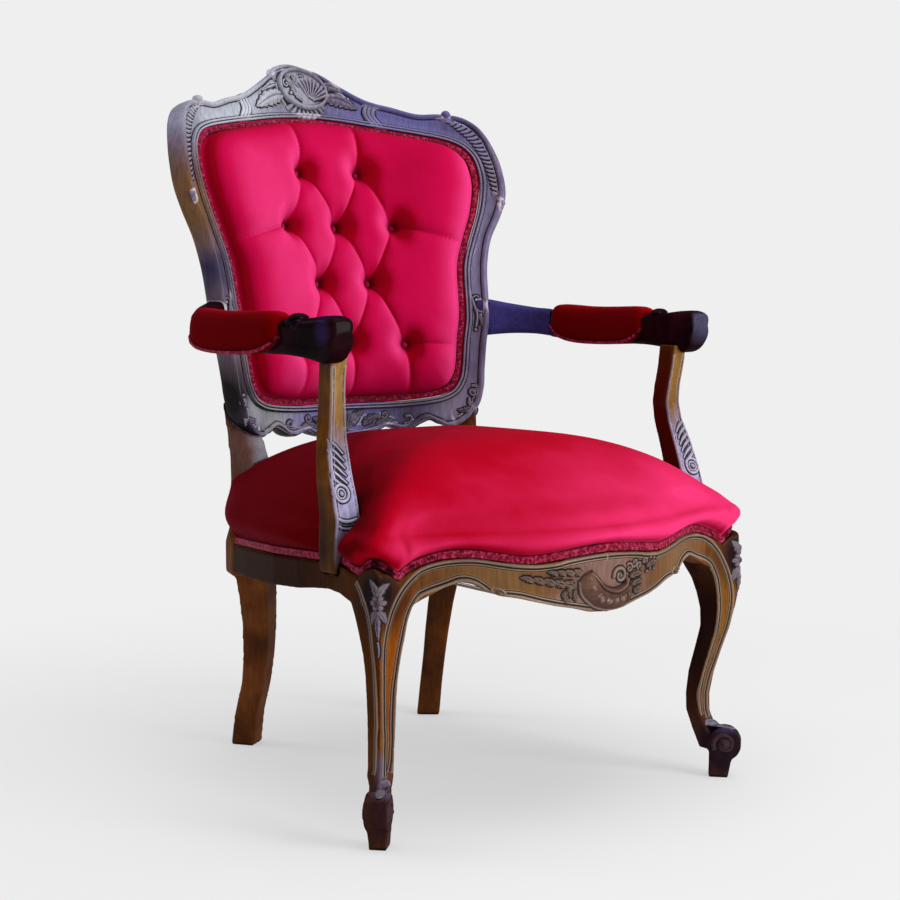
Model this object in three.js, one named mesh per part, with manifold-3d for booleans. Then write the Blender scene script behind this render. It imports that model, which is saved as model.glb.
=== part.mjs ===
// An open armchair in the Louis XV manner: a carved show-wood frame with a bowed oval back,
// padded arm rests and a sprung-looking crowned seat, all upholstered in velvet.
// Millimetres, +Z up. The sitter faces -Y and the sitter's left hand is on +X.
// Each pair is shaped on the +X side, and its twin hangs in a group mirrored across the middle.
import * as THREE from "three";
import { mergeVertices, toCreasedNormals } from "three/addons/utils/BufferGeometryUtils.js";
import Module from "manifold-3d";

const wasm = await Module();
wasm.setup();

// Seat frame
const seatHeight = 355; // floor to the top of the front rail's show wood
const seatFall = 42; // how much lower the show wood is at the rear
const frontHalf = 302; // middle to the outer face of a front leg
const rearHalf = 222; // middle to the outer corner of a rear post
const frontReach = 366; // frame line to the front face of a front leg
const rearReach = 163; // frame line to the outer corner of a rear post
const railBow = 72; // the front rail's bulge in front of the legs
const rearBow = 26; // the rear rail's bulge behind the posts
const railThickness = 30;
const railHeight = 45;
const rebate = 8; // step in from the show wood to the tacking face
const tackingHeight = 22; // tacking face above the show wood

// Front legs
const kneeWidth = 62;
const ankleWidth = 26;
const toeRadius = 24;
const toeLength = 36;
const toeSides = 14;
const toeReach = 8; // scroll centre outside the middle of the foot block
const toeHeight = 48;
const footSide = 27;
const footFlare = 7;
const footHeight = 40;

// Rear posts and back frame
const backRise = 673; // front rail's show wood to the top of the crest
const openingHalf = 248; // middle to the widest point of the back opening
const openingRise = 153; // front rail's show wood to the bottom of the back opening
const crestRise = 82; // top of the opening to the top of the crest
const frameBand = 31; // width of the back frame's moulded face
const frameDepth = 30;
const backLine = 219.5; // frame line to the back's face at waist height, in the middle
const waistRise = 345; // front rail's show wood to the back's narrowest part
const backRakeSlope = 0.236;
const sweepRadius = 1734; // the back's curve from bottom to top
const barrelRadius = 356; // the back's curve from side to side
const rearLegSide = 36;
const rearLegSplay = 167; // middle to the centre of a rear foot
const rearLegRake = 202; // frame line to the centre of a rear foot
const beadRise = 2.4;
const hollowDepth = 2.6;
const lipWidth = 12; // rebated lip that the back upholstery is tacked to
const lipSetback = 9;

// Arms
const armRise = 297; // front rail's show wood to the top of an arm
const armDepth = 50;
const armOverhang = 14; // an arm's centre line outside the front legs at its widest
const armTuck = 19; // how far an arm's front end turns in again
const armHalfWidth = 15;
const armReach = 297; // frame line to the front of an arm
const supportWidth = 27;
const supportDepth = 42;

// Upholstery
const coverThickness = 2;
const seatCrown = 134; // top of the seat above the front rail
const seatRim = 34; // front edge of the seat's crown above the front rail
const rimRise = 22; // how much higher that edge is at the rear
const sideBulge = 19;
const strapSpacing = 120;
const backPadRise = 50; // crown of the back pad in front of the frame's face
const rimSetback = 1.6; // rim of the back cover behind the frame's face
const patchShare = 0.99; // sizes of the back's layers as shares of the opening
const gimpShare = 0.991;
const sheetShare = 0.975;
const foamShare = 0.9;
const tuftDepth = 18;
const tuftRadius = 24;
const buttonRadius = 8;
const buttonThickness = 6;
const buttonSides = 8;
const gimpWidth = 11;
const gimpThickness = 2.2;
const armPadRise = 13;
const armPadHalf = 22;
const backStrapHalf = 80; // middle to each back strap
const strapWidth = 55;
const strapThickness = 1.2;
const sheetThickness = 1;

// Joints
const gap = 0.3; // clearance between pieces that touch
const softGap = 0.6; // clearance round wood that passes through upholstery
const tenonThickness = 10;
const tenonLength = 24;
const blockHeight = 30;
const blockDrop = 10; // corner blocks below the deck
const screwSides = 8;
const screwRadius = 2.2;
const screwLength = 42;
const screwHeadRadius = 4.4;
const screwHeadHeight = 2.6;

const backHeight = seatHeight + backRise;
const openingBottom = seatHeight + openingRise;
const waistHeight = seatHeight + waistRise;
const armHeight = seatHeight + armRise;
const armHalfSpread = frontHalf + armOverhang;

const V = (x, y, z) => new THREE.Vector3(x, y, z);
const outwards = V(1, 0, 0);
const forwards = V(0, -1, 0);
const rearwards = V(0, 1, 0);
const upwards = V(0, 0, 1);
const mirrorX = (p) => V(-p.x, p.y, p.z);
const towards = (from, to) => to.clone().sub(from).normalize();
const mix = (a, b, share) => a + (b - a) * share;
const stepped = (p, direction, distance) => p.clone().addScaledVector(direction, distance);

// A solid from positions and triangles, turned so that its faces point out.
function solidOf(points, triangles) {
  const geometry = new THREE.BufferGeometry().setFromPoints(points).setIndex(triangles.flat());
  return solidFrom(geometry);
}

function solidFrom(geometry) {
  const bare = geometry.clone();
  bare.deleteAttribute("normal");
  bare.deleteAttribute("uv");
  const merged = mergeVertices(bare, 1e-4);
  const vertProperties = new Float32Array(merged.attributes.position.array);
  const corners = [];
  for (let i = 0; i < merged.index.count; i += 3) {
    const [a, b, c] = merged.index.array.slice(i, i + 3);
    if (a !== b && b !== c && c !== a) corners.push(a, b, c);
  }
  const build = (list) =>
    new wasm.Manifold(new wasm.Mesh({ numProp: 3, vertProperties, triVerts: new Uint32Array(list) }));
  const made = build(corners);
  return made.volume() > 0 ? made : build(corners.reverse());
}

function middleOf(ring) {
  const middle = V(0, 0, 0);
  ring.forEach((p) => middle.addScaledVector(p, 1 / ring.length));
  return middle;
}

// A closed skin through rings of equally many points, with capped ends, or joined in a loop.
function loft(rings, looped = false) {
  const count = rings[0].length;
  const triangles = [];
  const last = looped ? rings.length : rings.length - 1;
  for (let i = 0; i < last; i++)
    for (let j = 0; j < count; j++) {
      const a = i * count + j;
      const b = i * count + ((j + 1) % count);
      const c = ((i + 1) % rings.length) * count + ((j + 1) % count);
      const d = ((i + 1) % rings.length) * count + j;
      triangles.push([a, b, c], [a, c, d]);
    }
  const points = rings.flat();
  if (!looped) {
    const end = (rings.length - 1) * count;
    const first = points.push(middleOf(rings[0])) - 1;
    const final = points.push(middleOf(rings[rings.length - 1])) - 1;
    for (let j = 0; j < count; j++) {
      const next = (j + 1) % count;
      triangles.push([next, j, first], [end + j, end + next, final]);
    }
  }
  return solidOf(points, triangles);
}

// A ring offset outwards in its own plane.
function offsetRing(ring, amount) {
  const count = ring.length;
  const turn = V(0, 0, 0);
  ring.forEach((p, i) => turn.add(p.clone().cross(ring[(i + 1) % count])));
  const normal = turn.normalize();
  const neighbour = (i, step) => {
    let k = (i + step + count) % count;
    while (ring[k].distanceTo(ring[i]) < amount && k !== i) k = (k + step + count) % count;
    return ring[k];
  };
  return ring.map((p, i) => {
    const before = towards(neighbour(i, -1), p).cross(normal);
    const after = towards(p, neighbour(i, 1)).cross(normal);
    const out = before.clone().add(after).normalize();
    return stepped(p, out, amount / Math.max(out.dot(before), 0.5));
  });
}

// Rings grown by an amount all round, and by as much past both ends.
function grown(rings, amount) {
  const middles = rings.map(middleOf);
  const last = rings.length - 1;
  return rings.map((ring, i) => {
    const wider = offsetRing(ring, amount);
    const end = i === 0 ? towards(middles[1], middles[0]) : towards(middles[last - 1], middles[last]);
    return i === 0 || i === last ? wider.map((p) => stepped(p, end, amount)) : wider;
  });
}

// A box with its middle at a point and its long side along a direction.
function bar(centre, along, up, length, width, height) {
  const across = up.clone().cross(along).normalize();
  const upright = along.clone().cross(across).normalize();
  const geometry = new THREE.BoxGeometry(length, width, height);
  const basis = new THREE.Matrix4().makeBasis(along, across, upright).setPosition(centre);
  return solidFrom(geometry.applyMatrix4(basis));
}

// A tenon for one piece and the mortise that takes it.
function tenonPair(centre, along, up, length, width, height) {
  return {
    tenon: bar(centre, along, up, length, width, height),
    mortise: bar(centre, along, up, length + 2 * gap, width + 2 * gap, height + 2 * gap),
  };
}

const moved = (solid, direction, distance) => {
  const step = direction.clone().normalize().multiplyScalar(distance);
  return solid.translate([step.x, step.y, step.z]);
};

// Materials
const finish = (color, roughness, metalness = 0) =>
  new THREE.MeshStandardMaterial({ color, roughness, metalness });
const walnut = finish(0x5a3013, 0.32);
const beech = finish(0xb98b5a, 0.6);
const velvet = finish(0xb80032, 0.85);
const braid = finish(0x9c1038, 0.8);
const foam = finish(0xe9dfc0, 0.95);
const jute = finish(0xa98a5c, 0.95);
const blackCloth = finish(0x1b1a1c, 0.95);
const steel = finish(0x8d8f92, 0.35, 0.9);

// The chair and the mirrored side
const chair = new THREE.Group();
const otherSide = new THREE.Group();
otherSide.scale.x = -1;
chair.add(otherSide);

// The off-cuts that a joint leaves fall away.
const mainBody = (solid) => solid.decompose().reduce((a, b) => (b.volume() > a.volume() ? b : a));

function place(name, solid, material, group = chair) {
  const made = mainBody(solid).getMesh();
  const geometry = new THREE.BufferGeometry();
  geometry.setAttribute("position", new THREE.BufferAttribute(new Float32Array(made.vertProperties), 3));
  geometry.setIndex(new THREE.BufferAttribute(new Uint32Array(made.triVerts), 1));
  const mesh = new THREE.Mesh(toCreasedNormals(geometry, 0.6), material);
  mesh.name = name;
  group.add(mesh);
}

function placePair(name, solid, material) {
  place(name + "_left", solid, material);
  place(name + "_right", solid, material, otherSide);
}

// The back: one bowed and raked surface that the whole back frame follows.
const backDepthAt = (x, z) => {
  const rise = z - waistHeight;
  const sweep = (rise * rise) / (2 * sweepRadius);
  const bow = (x * x) / (2 * barrelRadius);
  return backLine + backRakeSlope * rise + sweep - bow;
};
const onBack = (x, z) => V(x, backDepthAt(x, z), z);
const backward = (x, z) =>
  V(x / barrelRadius, 1, -backRakeSlope - (z - waistHeight) / sweepRadius).normalize();

// A ring of the moulded back frame. The sight edge is at a and the outer edge at b, on the face,
// with d and c behind them; relief and lip fade to zero where the frame turns into plain wood.
function frameRing(a, b, c, d, relief, lip) {
  const across = towards(a, b);
  const width = a.distanceTo(b);
  const back = towards(a, d);
  const depth = a.distanceTo(d);
  const face = (share, height) => stepped(stepped(a, across, width * share), back, -height * relief);
  return [
    a.clone(),
    face(0.07, beadRise),
    face(0.17, beadRise),
    face(0.26, -hollowDepth),
    face(0.74, -hollowDepth),
    face(0.86, beadRise / 2),
    b.clone(),
    c.clone(),
    d.clone(),
    stepped(a, back, depth - lipSetback),
    stepped(stepped(a, back, depth - lipSetback), across, -lipWidth * lip),
    stepped(stepped(a, back, lipSetback), across, -lipWidth * lip),
    stepped(a, back, lipSetback),
  ];
}

// A ring of the back frame between a point of the opening and a point of the outline.
function bandRing(innerX, innerZ, outerX, outerZ) {
  const a = onBack(innerX, innerZ);
  const b = onBack(outerX, outerZ);
  const back = backward((innerX + outerX) / 2, (innerZ + outerZ) / 2);
  return frameRing(a, b, stepped(b, back, frameDepth), stepped(a, back, frameDepth), 1, 1);
}

const openingTop = backHeight - crestRise;
const openingHeight = openingTop - openingBottom;
const lowerDrop = 46; // the back's lower rail below the opening

// The stile's sight edge and outer edge: shares of the opening's half width and of its height.
const stileShares = [
  [0.75, 0.085, 0.88, 0.072],
  [0.762, 0.115, 0.887, 0.115],
  [0.786, 0.21, 0.911, 0.21],
  [0.815, 0.3, 0.94, 0.3],
  [0.831, 0.44, 0.956, 0.44],
  [0.85, 0.507, 0.972, 0.507],
  [0.9, 0.587, 1.01, 0.587],
  [0.952, 0.667, 1.073, 0.667],
  [0.984, 0.735, 1.115, 0.735],
  [1, 0.795, 1.125, 0.795],
  [0.992, 0.858, 1.113, 0.878],
];
// The crest from the shoulder joint to the middle, where the outline's rise is a share of crestRise.
const crestShares = [
  [0.992, 0.858, 1.113, 0.878, 0],
  [0.96, 0.898, 1.065, 0.97, 0],
  [0.907, 0.923, 0.98, 1, 0.1],
  [0.82, 0.94, 0.86, 1, 0.16],
  [0.7, 0.954, 0.73, 1, 0.17],
  [0.56, 0.967, 0.59, 1, 0.3],
  [0.42, 0.98, 0.44, 1, 0.42],
  [0.28, 0.991, 0.29, 1, 0.66],
  [0.14, 0.998, 0.15, 1, 0.92],
  [0, 1, 0, 1, 1],
];
const openingX = (share) => openingHalf * share;
const openingZ = (share) => openingBottom + openingHeight * share;

const stileRings = stileShares.map(([ix, iz, ox, oz]) =>
  bandRing(openingX(ix), openingZ(iz), openingX(ox), openingZ(oz)),
);

// Rear leg and post below the back: centre, side and a turn that follows the bowed back.
const postTurn = 0.64; // radians
const legShares = [
  [0, 1, 1, 1],
  [0.14, 0.994, 0.955, 0.97],
  [0.28, 0.97, 0.881, 0.97],
  [0.4, 0.97, 0.842, 1.03],
  [0.53, 0.985, 0.807, 1.11],
  [0.66, 1.02, 0.777, 1.22],
  [0.735, 1.055, 0.748, 1.3],
];
function turnedSquare(x, y, z, side) {
  const u = V(Math.cos(postTurn), -Math.sin(postTurn), 0).multiplyScalar(side / 2);
  const w = V(Math.sin(postTurn), Math.cos(postTurn), 0).multiplyScalar(side / 2);
  const corner = (su, sw) => V(x, y, z).addScaledVector(u, su).addScaledVector(w, sw);
  return frameRing(corner(-1, -1), corner(1, -1), corner(1, 1), corner(-1, 1), 0, 0);
}
const rearLegRings = legShares.map(([h, x, y, s]) =>
  turnedSquare(rearLegSplay * x, rearLegRake * y, seatHeight * h, rearLegSide * s),
);
// The block that takes the seat rails and the plain post above it: heights are shares of the seat
// height, and the corners a, b, c and d are shares of rearHalf and rearReach.
const blockShares = [
  [0.765, 0.85, 0.62, 1.025, 0.79, 0.995, 1, 0.8, 1.07],
  [0.895, 0.85, 0.62, 1.025, 0.79, 0.995, 1, 0.8, 1.07],
  [0.97, 0.79, 0.72, 0.915, 0.72, 1, 0.9, 0.84, 0.98],
  [1.1, 0.765, 0.71, 0.9, 0.7, 1, 0.88, 0.835, 0.96],
  [1.25, 0.76, 0.735, 0.9, 0.72, 1, 0.9, 0.835, 0.975],
  [1.37, 0.768, 0.77, 0.915, 0.745, 1.015, 0.92, 0.85, 1],
];
const postBlockRings = blockShares.map(([h, ax, ay, bx, by, cx, cy, dx, dy]) => {
  const corner = (x, y) => V(rearHalf * x, rearReach * y, seatHeight * h);
  return frameRing(corner(ax, ay), corner(bx, by), corner(cx, cy), corner(dx, dy), 0, 0);
});
const postRings = [...rearLegRings, ...postBlockRings, ...stileRings];
let post = loft(postRings);
const postClear = loft(grown(postRings, softGap));
const mirrored = (solid) => solid.mirror([1, 0, 0]);
const minusBoth = (solid, cutter) => solid.subtract(cutter).subtract(mirrored(cutter));
const plusBoth = (solid, added) => solid.add(added).add(mirrored(added));

// Shoulder joint: the stile's tenon stands up into the crest.
const shoulderA = stileRings[stileRings.length - 1];
const shoulderMiddle = shoulderA[0].clone().add(shoulderA[7]).multiplyScalar(0.5);
const shoulderUp = towards(stileRings[stileRings.length - 2][6], shoulderA[6]);
const shoulderBack = towards(shoulderA[0], shoulderA[8]);
const shoulder = tenonPair(
  stepped(shoulderMiddle, shoulderUp, tenonLength / 4),
  shoulderUp, shoulderBack, tenonLength, frameBand * 0.6, tenonThickness,
);

const crestHalf = crestShares.map(([ix, iz, ox, oz, rise]) =>
  [openingX(ix), openingZ(iz), openingX(ox), openingZ(oz) + crestRise * rise]);
const crestRings = [
  ...crestHalf.map((row) => bandRing(...row)),
  ...crestHalf.slice(0, -1).reverse().map(([ix, iz, ox, oz]) => bandRing(-ix, iz, -ox, oz)),
];
crestRings[0] = crestRings[0].map((p) => stepped(p, shoulderUp, gap));
crestRings[crestRings.length - 1] = crestRings[0].map(mirrorX);
const crest = minusBoth(loft(crestRings), shoulder.mortise);
post = post.add(shoulder.tenon);

// The back's lower rail, scalloped below, from the middle out to the posts.
const lowerShares = [
  [0, 0, 1.15],
  [0.12, 0, 1.06],
  [0.28, 0.001, 0.95],
  [0.4, 0.003, 0.93],
  [0.46, 0.005, 0.83],
  [0.52, 0.008, 0.66],
  [0.61, 0.016, 0.74],
  [0.65, 0.023, 0.87],
  [0.7, 0.038, 0.8],
  [0.745, 0.07, 0.74],
];
const lowerHalf = lowerShares.map(([x, top, drop]) =>
  [openingX(x), openingZ(top), openingX(x), openingBottom - lowerDrop * drop]);
const lowerRings = [
  ...lowerHalf.slice(1).reverse().map(([x, top, , low]) => bandRing(-x, top, -x, low)),
  ...lowerHalf.map((row) => bandRing(...row)),
];
const lowerEnd = lowerHalf[lowerHalf.length - 2];
const lowerFace = onBack(lowerEnd[0], mix(lowerEnd[1], lowerEnd[3], 0.5));
const lowerMiddle = stepped(lowerFace, rearwards, frameDepth / 2);
const lowerTenon = tenonPair(
  stepped(lowerMiddle, outwards, tenonLength / 4),
  outwards, rearwards, tenonLength, lowerDrop / 2, tenonThickness,
);
const lowerRail = plusBoth(minusBoth(loft(lowerRings), postClear), lowerTenon.tenon);
post = post.subtract(lowerTenon.mortise);

// The tacking line: where the seat cover meets the show wood, from the front's middle round to the
// rear's middle. Shares of the half width there, of the way that the width has gone from frontHalf
// to rearHalf, of the reach forward or back, and of the seat height.
const tackingShares = [
  [0, 0, -1.176, 0.997],
  [0.325, 0, -1.133, 0.972],
  [0.464, 0, -1.088, 0.985],
  [0.58, 0, -1.048, 1.001],
  [0.689, 0, -1.009, 0.999],
  [0.782, 0, -0.983, 0.98],
  [0.848, 0, -0.979, 0.958],
  [0.888, 0, -0.978, 0.938],
  [0.932, 0, -0.977, 0.965],
  [0.964, 0, -0.962, 0.985],
  [0.974, 0, -0.924, 0.976],
  [0.974, 0, -0.88, 0.946],
  [0.972, 0, -0.834, 0.952],
  [0.97, 0.01, -0.752, 0.971],
  [0.9725, 0.064, -0.492, 0.958],
  [0.971, 0.21, -0.246, 0.938],
  [0.97, 0.425, -0.055, 0.923],
  [0.968, 0.65, 0.307, 0.907],
  [0.967, 0.87, 0.663, 0.893],
  [0.9645, 1, 0.89, 0.885],
  [0.914, 1, 0.988, 0.882],
  [0.766, 1, 1.043, 0.882],
  [0.495, 1, 1.09, 0.882],
  [0, 1, 1.11, 0.882],
];
const reach = (share) => share * (share < 0 ? frontReach : rearReach);
const deckZ = (y) =>
  seatHeight + tackingHeight - (seatFall * (y + frontReach)) / (frontReach + rearReach);
const tackingHalf = tackingShares.map(([x, narrowed, y, z]) =>
  V(mix(frontHalf, rearHalf, narrowed) * x, reach(y), seatHeight * z));
const tackingLoop = [...tackingHalf, ...tackingHalf.slice(1, -1).reverse().map(mirrorX)];
const around = (i) => (i + tackingLoop.length) % tackingLoop.length;
const tackingOut = tackingLoop.map((p, i) => {
  const along = towards(tackingLoop[around(i - 1)], tackingLoop[around(i + 1)]);
  return V(along.y, -along.x, 0).normalize();
});
// A point beside the tacking line, outward and up from it.
const beside = (i, out, up) =>
  stepped(stepped(tackingLoop[around(i)], tackingOut[around(i)], out), upwards, up);

// The rebate that every seat rail and front leg has above the show wood.
const rebateReach = 60;
const rebateRise = 90;
const rebateCut = loft(
  tackingLoop.map((p, i) => [
    beside(i, 0, 0),
    beside(i, rebateReach, 0),
    beside(i, rebateReach, rebateRise),
    beside(i, 0, rebateRise),
  ]),
  true,
);

// A seat rail's ring: show face at p, thickness inwards, and up to the deck.
function railRing(p, out, low, waist) {
  const at = (inwards, z) => stepped(V(p.x, p.y, z), out, -inwards);
  const onDeck = (inwards) => {
    const edge = at(inwards, 0);
    return edge.setZ(deckZ(edge.y));
  };
  return [
    at(0, low),
    at(-beadRise / 2, low + beadRise),
    at(waist, mix(low, p.z, 0.3)),
    at(waist, mix(low, p.z, 0.75)),
    at(-beadRise / 2, p.z - beadRise),
    at(0, p.z),
    onDeck(0),
    onDeck(railThickness),
    at(railThickness, low),
  ];
}
function railRings(rows, waist) {
  return rows.map(([x, y, top, low], i) => {
    const before = rows[Math.max(i - 1, 0)];
    const after = rows[Math.min(i + 1, rows.length - 1)];
    const out = V(after[1] - before[1], before[0] - after[0], 0).normalize();
    return railRing(V(x, y, top), out, low, waist);
  });
}

// Front rail, middle to leg: shares of frontHalf, of railBow and of the seat height.
const frontRailShares = [
  [0, 1, 0.997, 0.783],
  [0.09, 0.985, 0.994, 0.789],
  [0.166, 0.945, 0.987, 0.806],
  [0.25, 0.885, 0.978, 0.82],
  [0.33, 0.78, 0.972, 0.837],
  [0.404, 0.655, 0.976, 0.854],
  [0.477, 0.53, 0.987, 0.865],
  [0.53, 0.43, 0.996, 0.885],
  [0.58, 0.345, 1.002, 0.91],
  [0.63, 0.255, 1.003, 0.92],
  [0.689, 0.155, 1, 0.904],
  [0.745, 0.07, 0.991, 0.879],
  [0.795, 0.015, 0.977, 0.859],
  [0.85, 0, 0.96, 0.837],
];
const frontRailRows = frontRailShares.map(([x, bow, top, low]) =>
  [frontHalf * x, -frontReach - railBow * bow, seatHeight * top, seatHeight * low]);
const acrossRows = (rows) => [...rows.slice(1).reverse().map(([x, ...rest]) => [-x, ...rest]), ...rows];
const frontRailRings = railRings(acrossRows(frontRailRows), hollowDepth);

// Side rail, leg to post: shares from front to rear, of seatFall and of railHeight.
const sideRailShares = [
  [0, 0.05, 0.24, 0.95],
  [0, 0.121, 0.21, 0.95],
  [0.01, 0.163, 0.19, 0.84],
  [0.025, 0.219, 0.19, 0.81],
  [0.045, 0.295, 0.22, 0.88],
  [0.07, 0.37, 0.38, 0.86],
  [0.21, 0.522, 0.52, 0.9],
  [0.425, 0.654, 0.64, 0.93],
  [0.65, 0.786, 0.78, 0.91],
  [0.875, 0.9, 0.9, 0.88],
  [1, 0.966, 0.98, 0.86],
];
const sideRailRows = sideRailShares.map(([across, along, fall, height]) => {
  const top = seatHeight - seatFall * fall;
  const x = mix(frontHalf, rearHalf, across);
  return [x, mix(-frontReach, rearReach, along), top, top - railHeight * height];
});
const sideRailRings = railRings(sideRailRows, 0);

// Rear rail, between the posts.
const rearRailShares = [
  [0, 1],
  [0.3, 0.92],
  [0.58, 0.66],
  [0.76, 0.38],
  [0.88, 0.16],
];
const rearRailTop = seatHeight - seatFall;
const rearRailLow = rearRailTop - railHeight * 0.88;
const rearRailRows = rearRailShares.map(([x, bow]) =>
  [rearHalf * x, rearReach + rearBow * bow, rearRailTop, rearRailLow]);
const rearRailRings = railRings(acrossRows(rearRailRows).reverse(), 0);

// Front leg: a cabriole from the seat frame's corner down to a scrolled toe.
// Shares of the seat height, insets as shares of kneeWidth, and sides as shares of kneeWidth.
const frontLegShares = [
  [0.11, 0.1, 0.45, 0.23, 0.48],
  [0.19, 0.24, 0.42, 0.37, 0.48],
  [0.26, 0.355, 0.4, 0.5, 0.45],
  [0.33, 0.363, 0.4, 0.508, 0.45],
  [0.42, 0.315, 0.435, 0.42, 0.47],
  [0.525, 0.21, 0.46, 0.26, 0.5],
  [0.605, 0.12, 0.5, 0.13, 0.53],
  [0.676, 0.065, 0.58, 0.056, 0.6],
  [0.738, 0.024, 0.68, 0.016, 0.7],
  [0.795, 0.008, 0.75, 0, 0.83],
  [0.845, 0, 0.87, 0, 0.97],
  [0.895, 0, 1, 0, 1.03],
  [1.06, 0, 1, 0, 1.03],
];
const legRing = ([h, insetX, sideX, insetY, sideY]) => {
  const outer = frontHalf - kneeWidth * insetX;
  const inner = outer - kneeWidth * sideX;
  const front = -frontReach + kneeWidth * insetY;
  const rear = front + kneeWidth * sideY;
  const z = seatHeight * h;
  const bevel = ankleWidth / 8;
  const bead = bevel / 3;
  return [
    V(inner, front + bevel / 2, z),
    V(inner + bevel, front - bead, z),
    V(mix(inner, outer, 0.5), front + bevel / 2, z),
    V(outer - bevel, front - bead, z),
    V(outer, front + bevel, z),
    V(outer - bead, mix(front, rear, 0.5), z),
    V(outer, rear - bevel, z),
    V(outer - bevel, rear, z),
    V(inner + bevel, rear, z),
    V(inner, rear - bevel, z),
  ];
};
const legRings = frontLegShares.map(legRing);
legRings[legRings.length - 1].forEach((p) => p.setZ(Math.min(p.z, deckZ(p.y))));
let frontLeg = loft(legRings);
const legClear = loft(grown(legRings, softGap));
const footX = frontHalf - kneeWidth * 0.27;
const footY = -frontReach + kneeWidth * 0.33;
const toeDirection = V(1, -1, 0).normalize();
const footRing = (side, z, shift) => {
  const middle = stepped(V(footX, footY, z), toeDirection, shift);
  const across = V(1, 1, 0).normalize();
  return [[-1, -1], [1, -1], [1, 1], [-1, 1]].map(([a, b]) =>
    stepped(stepped(middle, across, (a * side) / 2), toeDirection, (b * side) / 2));
};
const footBlock = loft([
  footRing(footSide, 0, 0),
  footRing(footSide + footFlare, footHeight, toeReach / 2),
]);
const toeMiddle = stepped(V(footX, footY, toeHeight), toeDirection, toeReach);
const toeBasis = new THREE.Matrix4()
  .makeBasis(toeDirection, V(1, 1, 0).normalize(), V(0, 0, -1))
  .setPosition(toeMiddle);
const toe = new THREE.CylinderGeometry(toeRadius, toeRadius, toeLength, toeSides);
frontLeg = frontLeg.add(footBlock).add(solidFrom(toe.applyMatrix4(toeBasis)));

// Seat frame joints: the rails stop at the legs and posts and run on in tenons. The height of each
// tenon is a share of the way from the rail's lower edge to its top.
const railTenonHeight = railHeight / 2;
const midHeight = ([, , top, low], share) => mix(low, top, share);
const last = (rows, back = 1) => rows[rows.length - back];
const frontRailEnd = last(frontRailRows, 2);
const frontTenonX = frontHalf - kneeWidth + tenonLength / 4;
const frontTenon = tenonPair(
  V(frontTenonX, frontRailEnd[1] + railThickness / 2, midHeight(frontRailEnd, 0.45)),
  outwards, rearwards, tenonLength, railTenonHeight, tenonThickness,
);
const legBack = -frontReach + kneeWidth * 1.03;
const sideTenon = tenonPair(
  V(frontHalf - railThickness / 2, legBack - tenonLength / 5, midHeight(sideRailRows[1], 0.5)),
  forwards, outwards, tenonLength * 0.8, railTenonHeight, tenonThickness,
);
const frontRailBody = minusBoth(loft(frontRailRings), legClear).subtract(rebateCut);
const frontRail = plusBoth(mainBody(frontRailBody), frontTenon.tenon);
const sideEnd = last(sideRailRows);
const beforeEnd = last(sideRailRows, 2);
const sideAlong = towards(V(beforeEnd[0], beforeEnd[1], 0), V(sideEnd[0], sideEnd[1], 0));
const sideOut = V(sideAlong.y, -sideAlong.x, 0);
const postTenonMiddle = stepped(
  V(sideEnd[0], sideEnd[1], midHeight(sideEnd, 0.5)), sideOut, -railThickness / 2,
);
const postTenon = tenonPair(
  stepped(postTenonMiddle, sideAlong, -tenonLength * 0.6),
  sideAlong, sideOut, tenonLength * 1.1, railTenonHeight, tenonThickness,
);
const rearTenon = tenonPair(
  V(rearHalf * 0.8, rearReach - railThickness * 0.35, rearRailTop - railHeight * 0.45),
  outwards, rearwards, tenonLength * 0.9, railTenonHeight, tenonThickness * 0.8,
);
frontLeg = frontLeg.subtract(frontTenon.mortise).subtract(sideTenon.mortise).subtract(rebateCut);

// Arm supports: rising from the side rails, bowed forward, then back under the arms.
// Shares of the way from the seat frame to the arm; insets of the outer face as shares of
// supportWidth; widths; front faces as shares of frontReach; depths as shares of supportDepth.
const supportShares = [
  [-0.076, -0.2, 1.15, -0.762, 1],
  [0.067, -0.25, 1.28, -0.775, 1.12],
  [0.153, -0.25, 1.36, -0.785, 1.14],
  [0.238, -0.22, 1.35, -0.762, 1.05],
  [0.324, -0.15, 1.28, -0.735, 0.98],
  [0.401, 0, 1.18, -0.712, 0.94],
  [0.482, 0.18, 1.04, -0.688, 0.9],
  [0.565, 0.3, 0.96, -0.678, 0.88],
  [0.649, 0.3, 0.9, -0.684, 0.87],
  [0.734, 0.24, 0.88, -0.695, 0.87],
  [0.846, 0.2, 0.93, -0.712, 0.9],
];
const supportRings = supportShares.map(([h, inset, width, front, depth]) => {
  const outer = frontHalf - supportWidth * inset;
  const inner = outer - supportWidth * width;
  const near = frontReach * front;
  const far = near + supportDepth * depth;
  const middle = mix(inner, outer, 0.5);
  const bevel = supportWidth / 9;
  const z = mix(seatHeight, armHeight, h);
  return [
    V(inner, near + bevel, z),
    V(inner + bevel, near, z),
    V(middle, near + hollowDepth, z),
    V(outer - bevel, near, z),
    V(outer, near + bevel, z),
    V(outer, far - 2 * bevel, z),
    V(middle, far, z),
    V(inner, far - 2 * bevel, z),
  ];
});
let support = loft(supportRings);
const supportClear = loft(grown(supportRings, softGap));
const footTenon = tenonPair(
  stepped(middleOf(supportRings[0]), upwards, -tenonLength / 3),
  upwards, forwards, tenonLength, tenonThickness, supportDepth / 2,
);
const headTenon = tenonPair(
  middleOf(last(supportRings)), upwards, forwards, tenonLength * 1.4, tenonThickness, supportDepth / 2,
);

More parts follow.
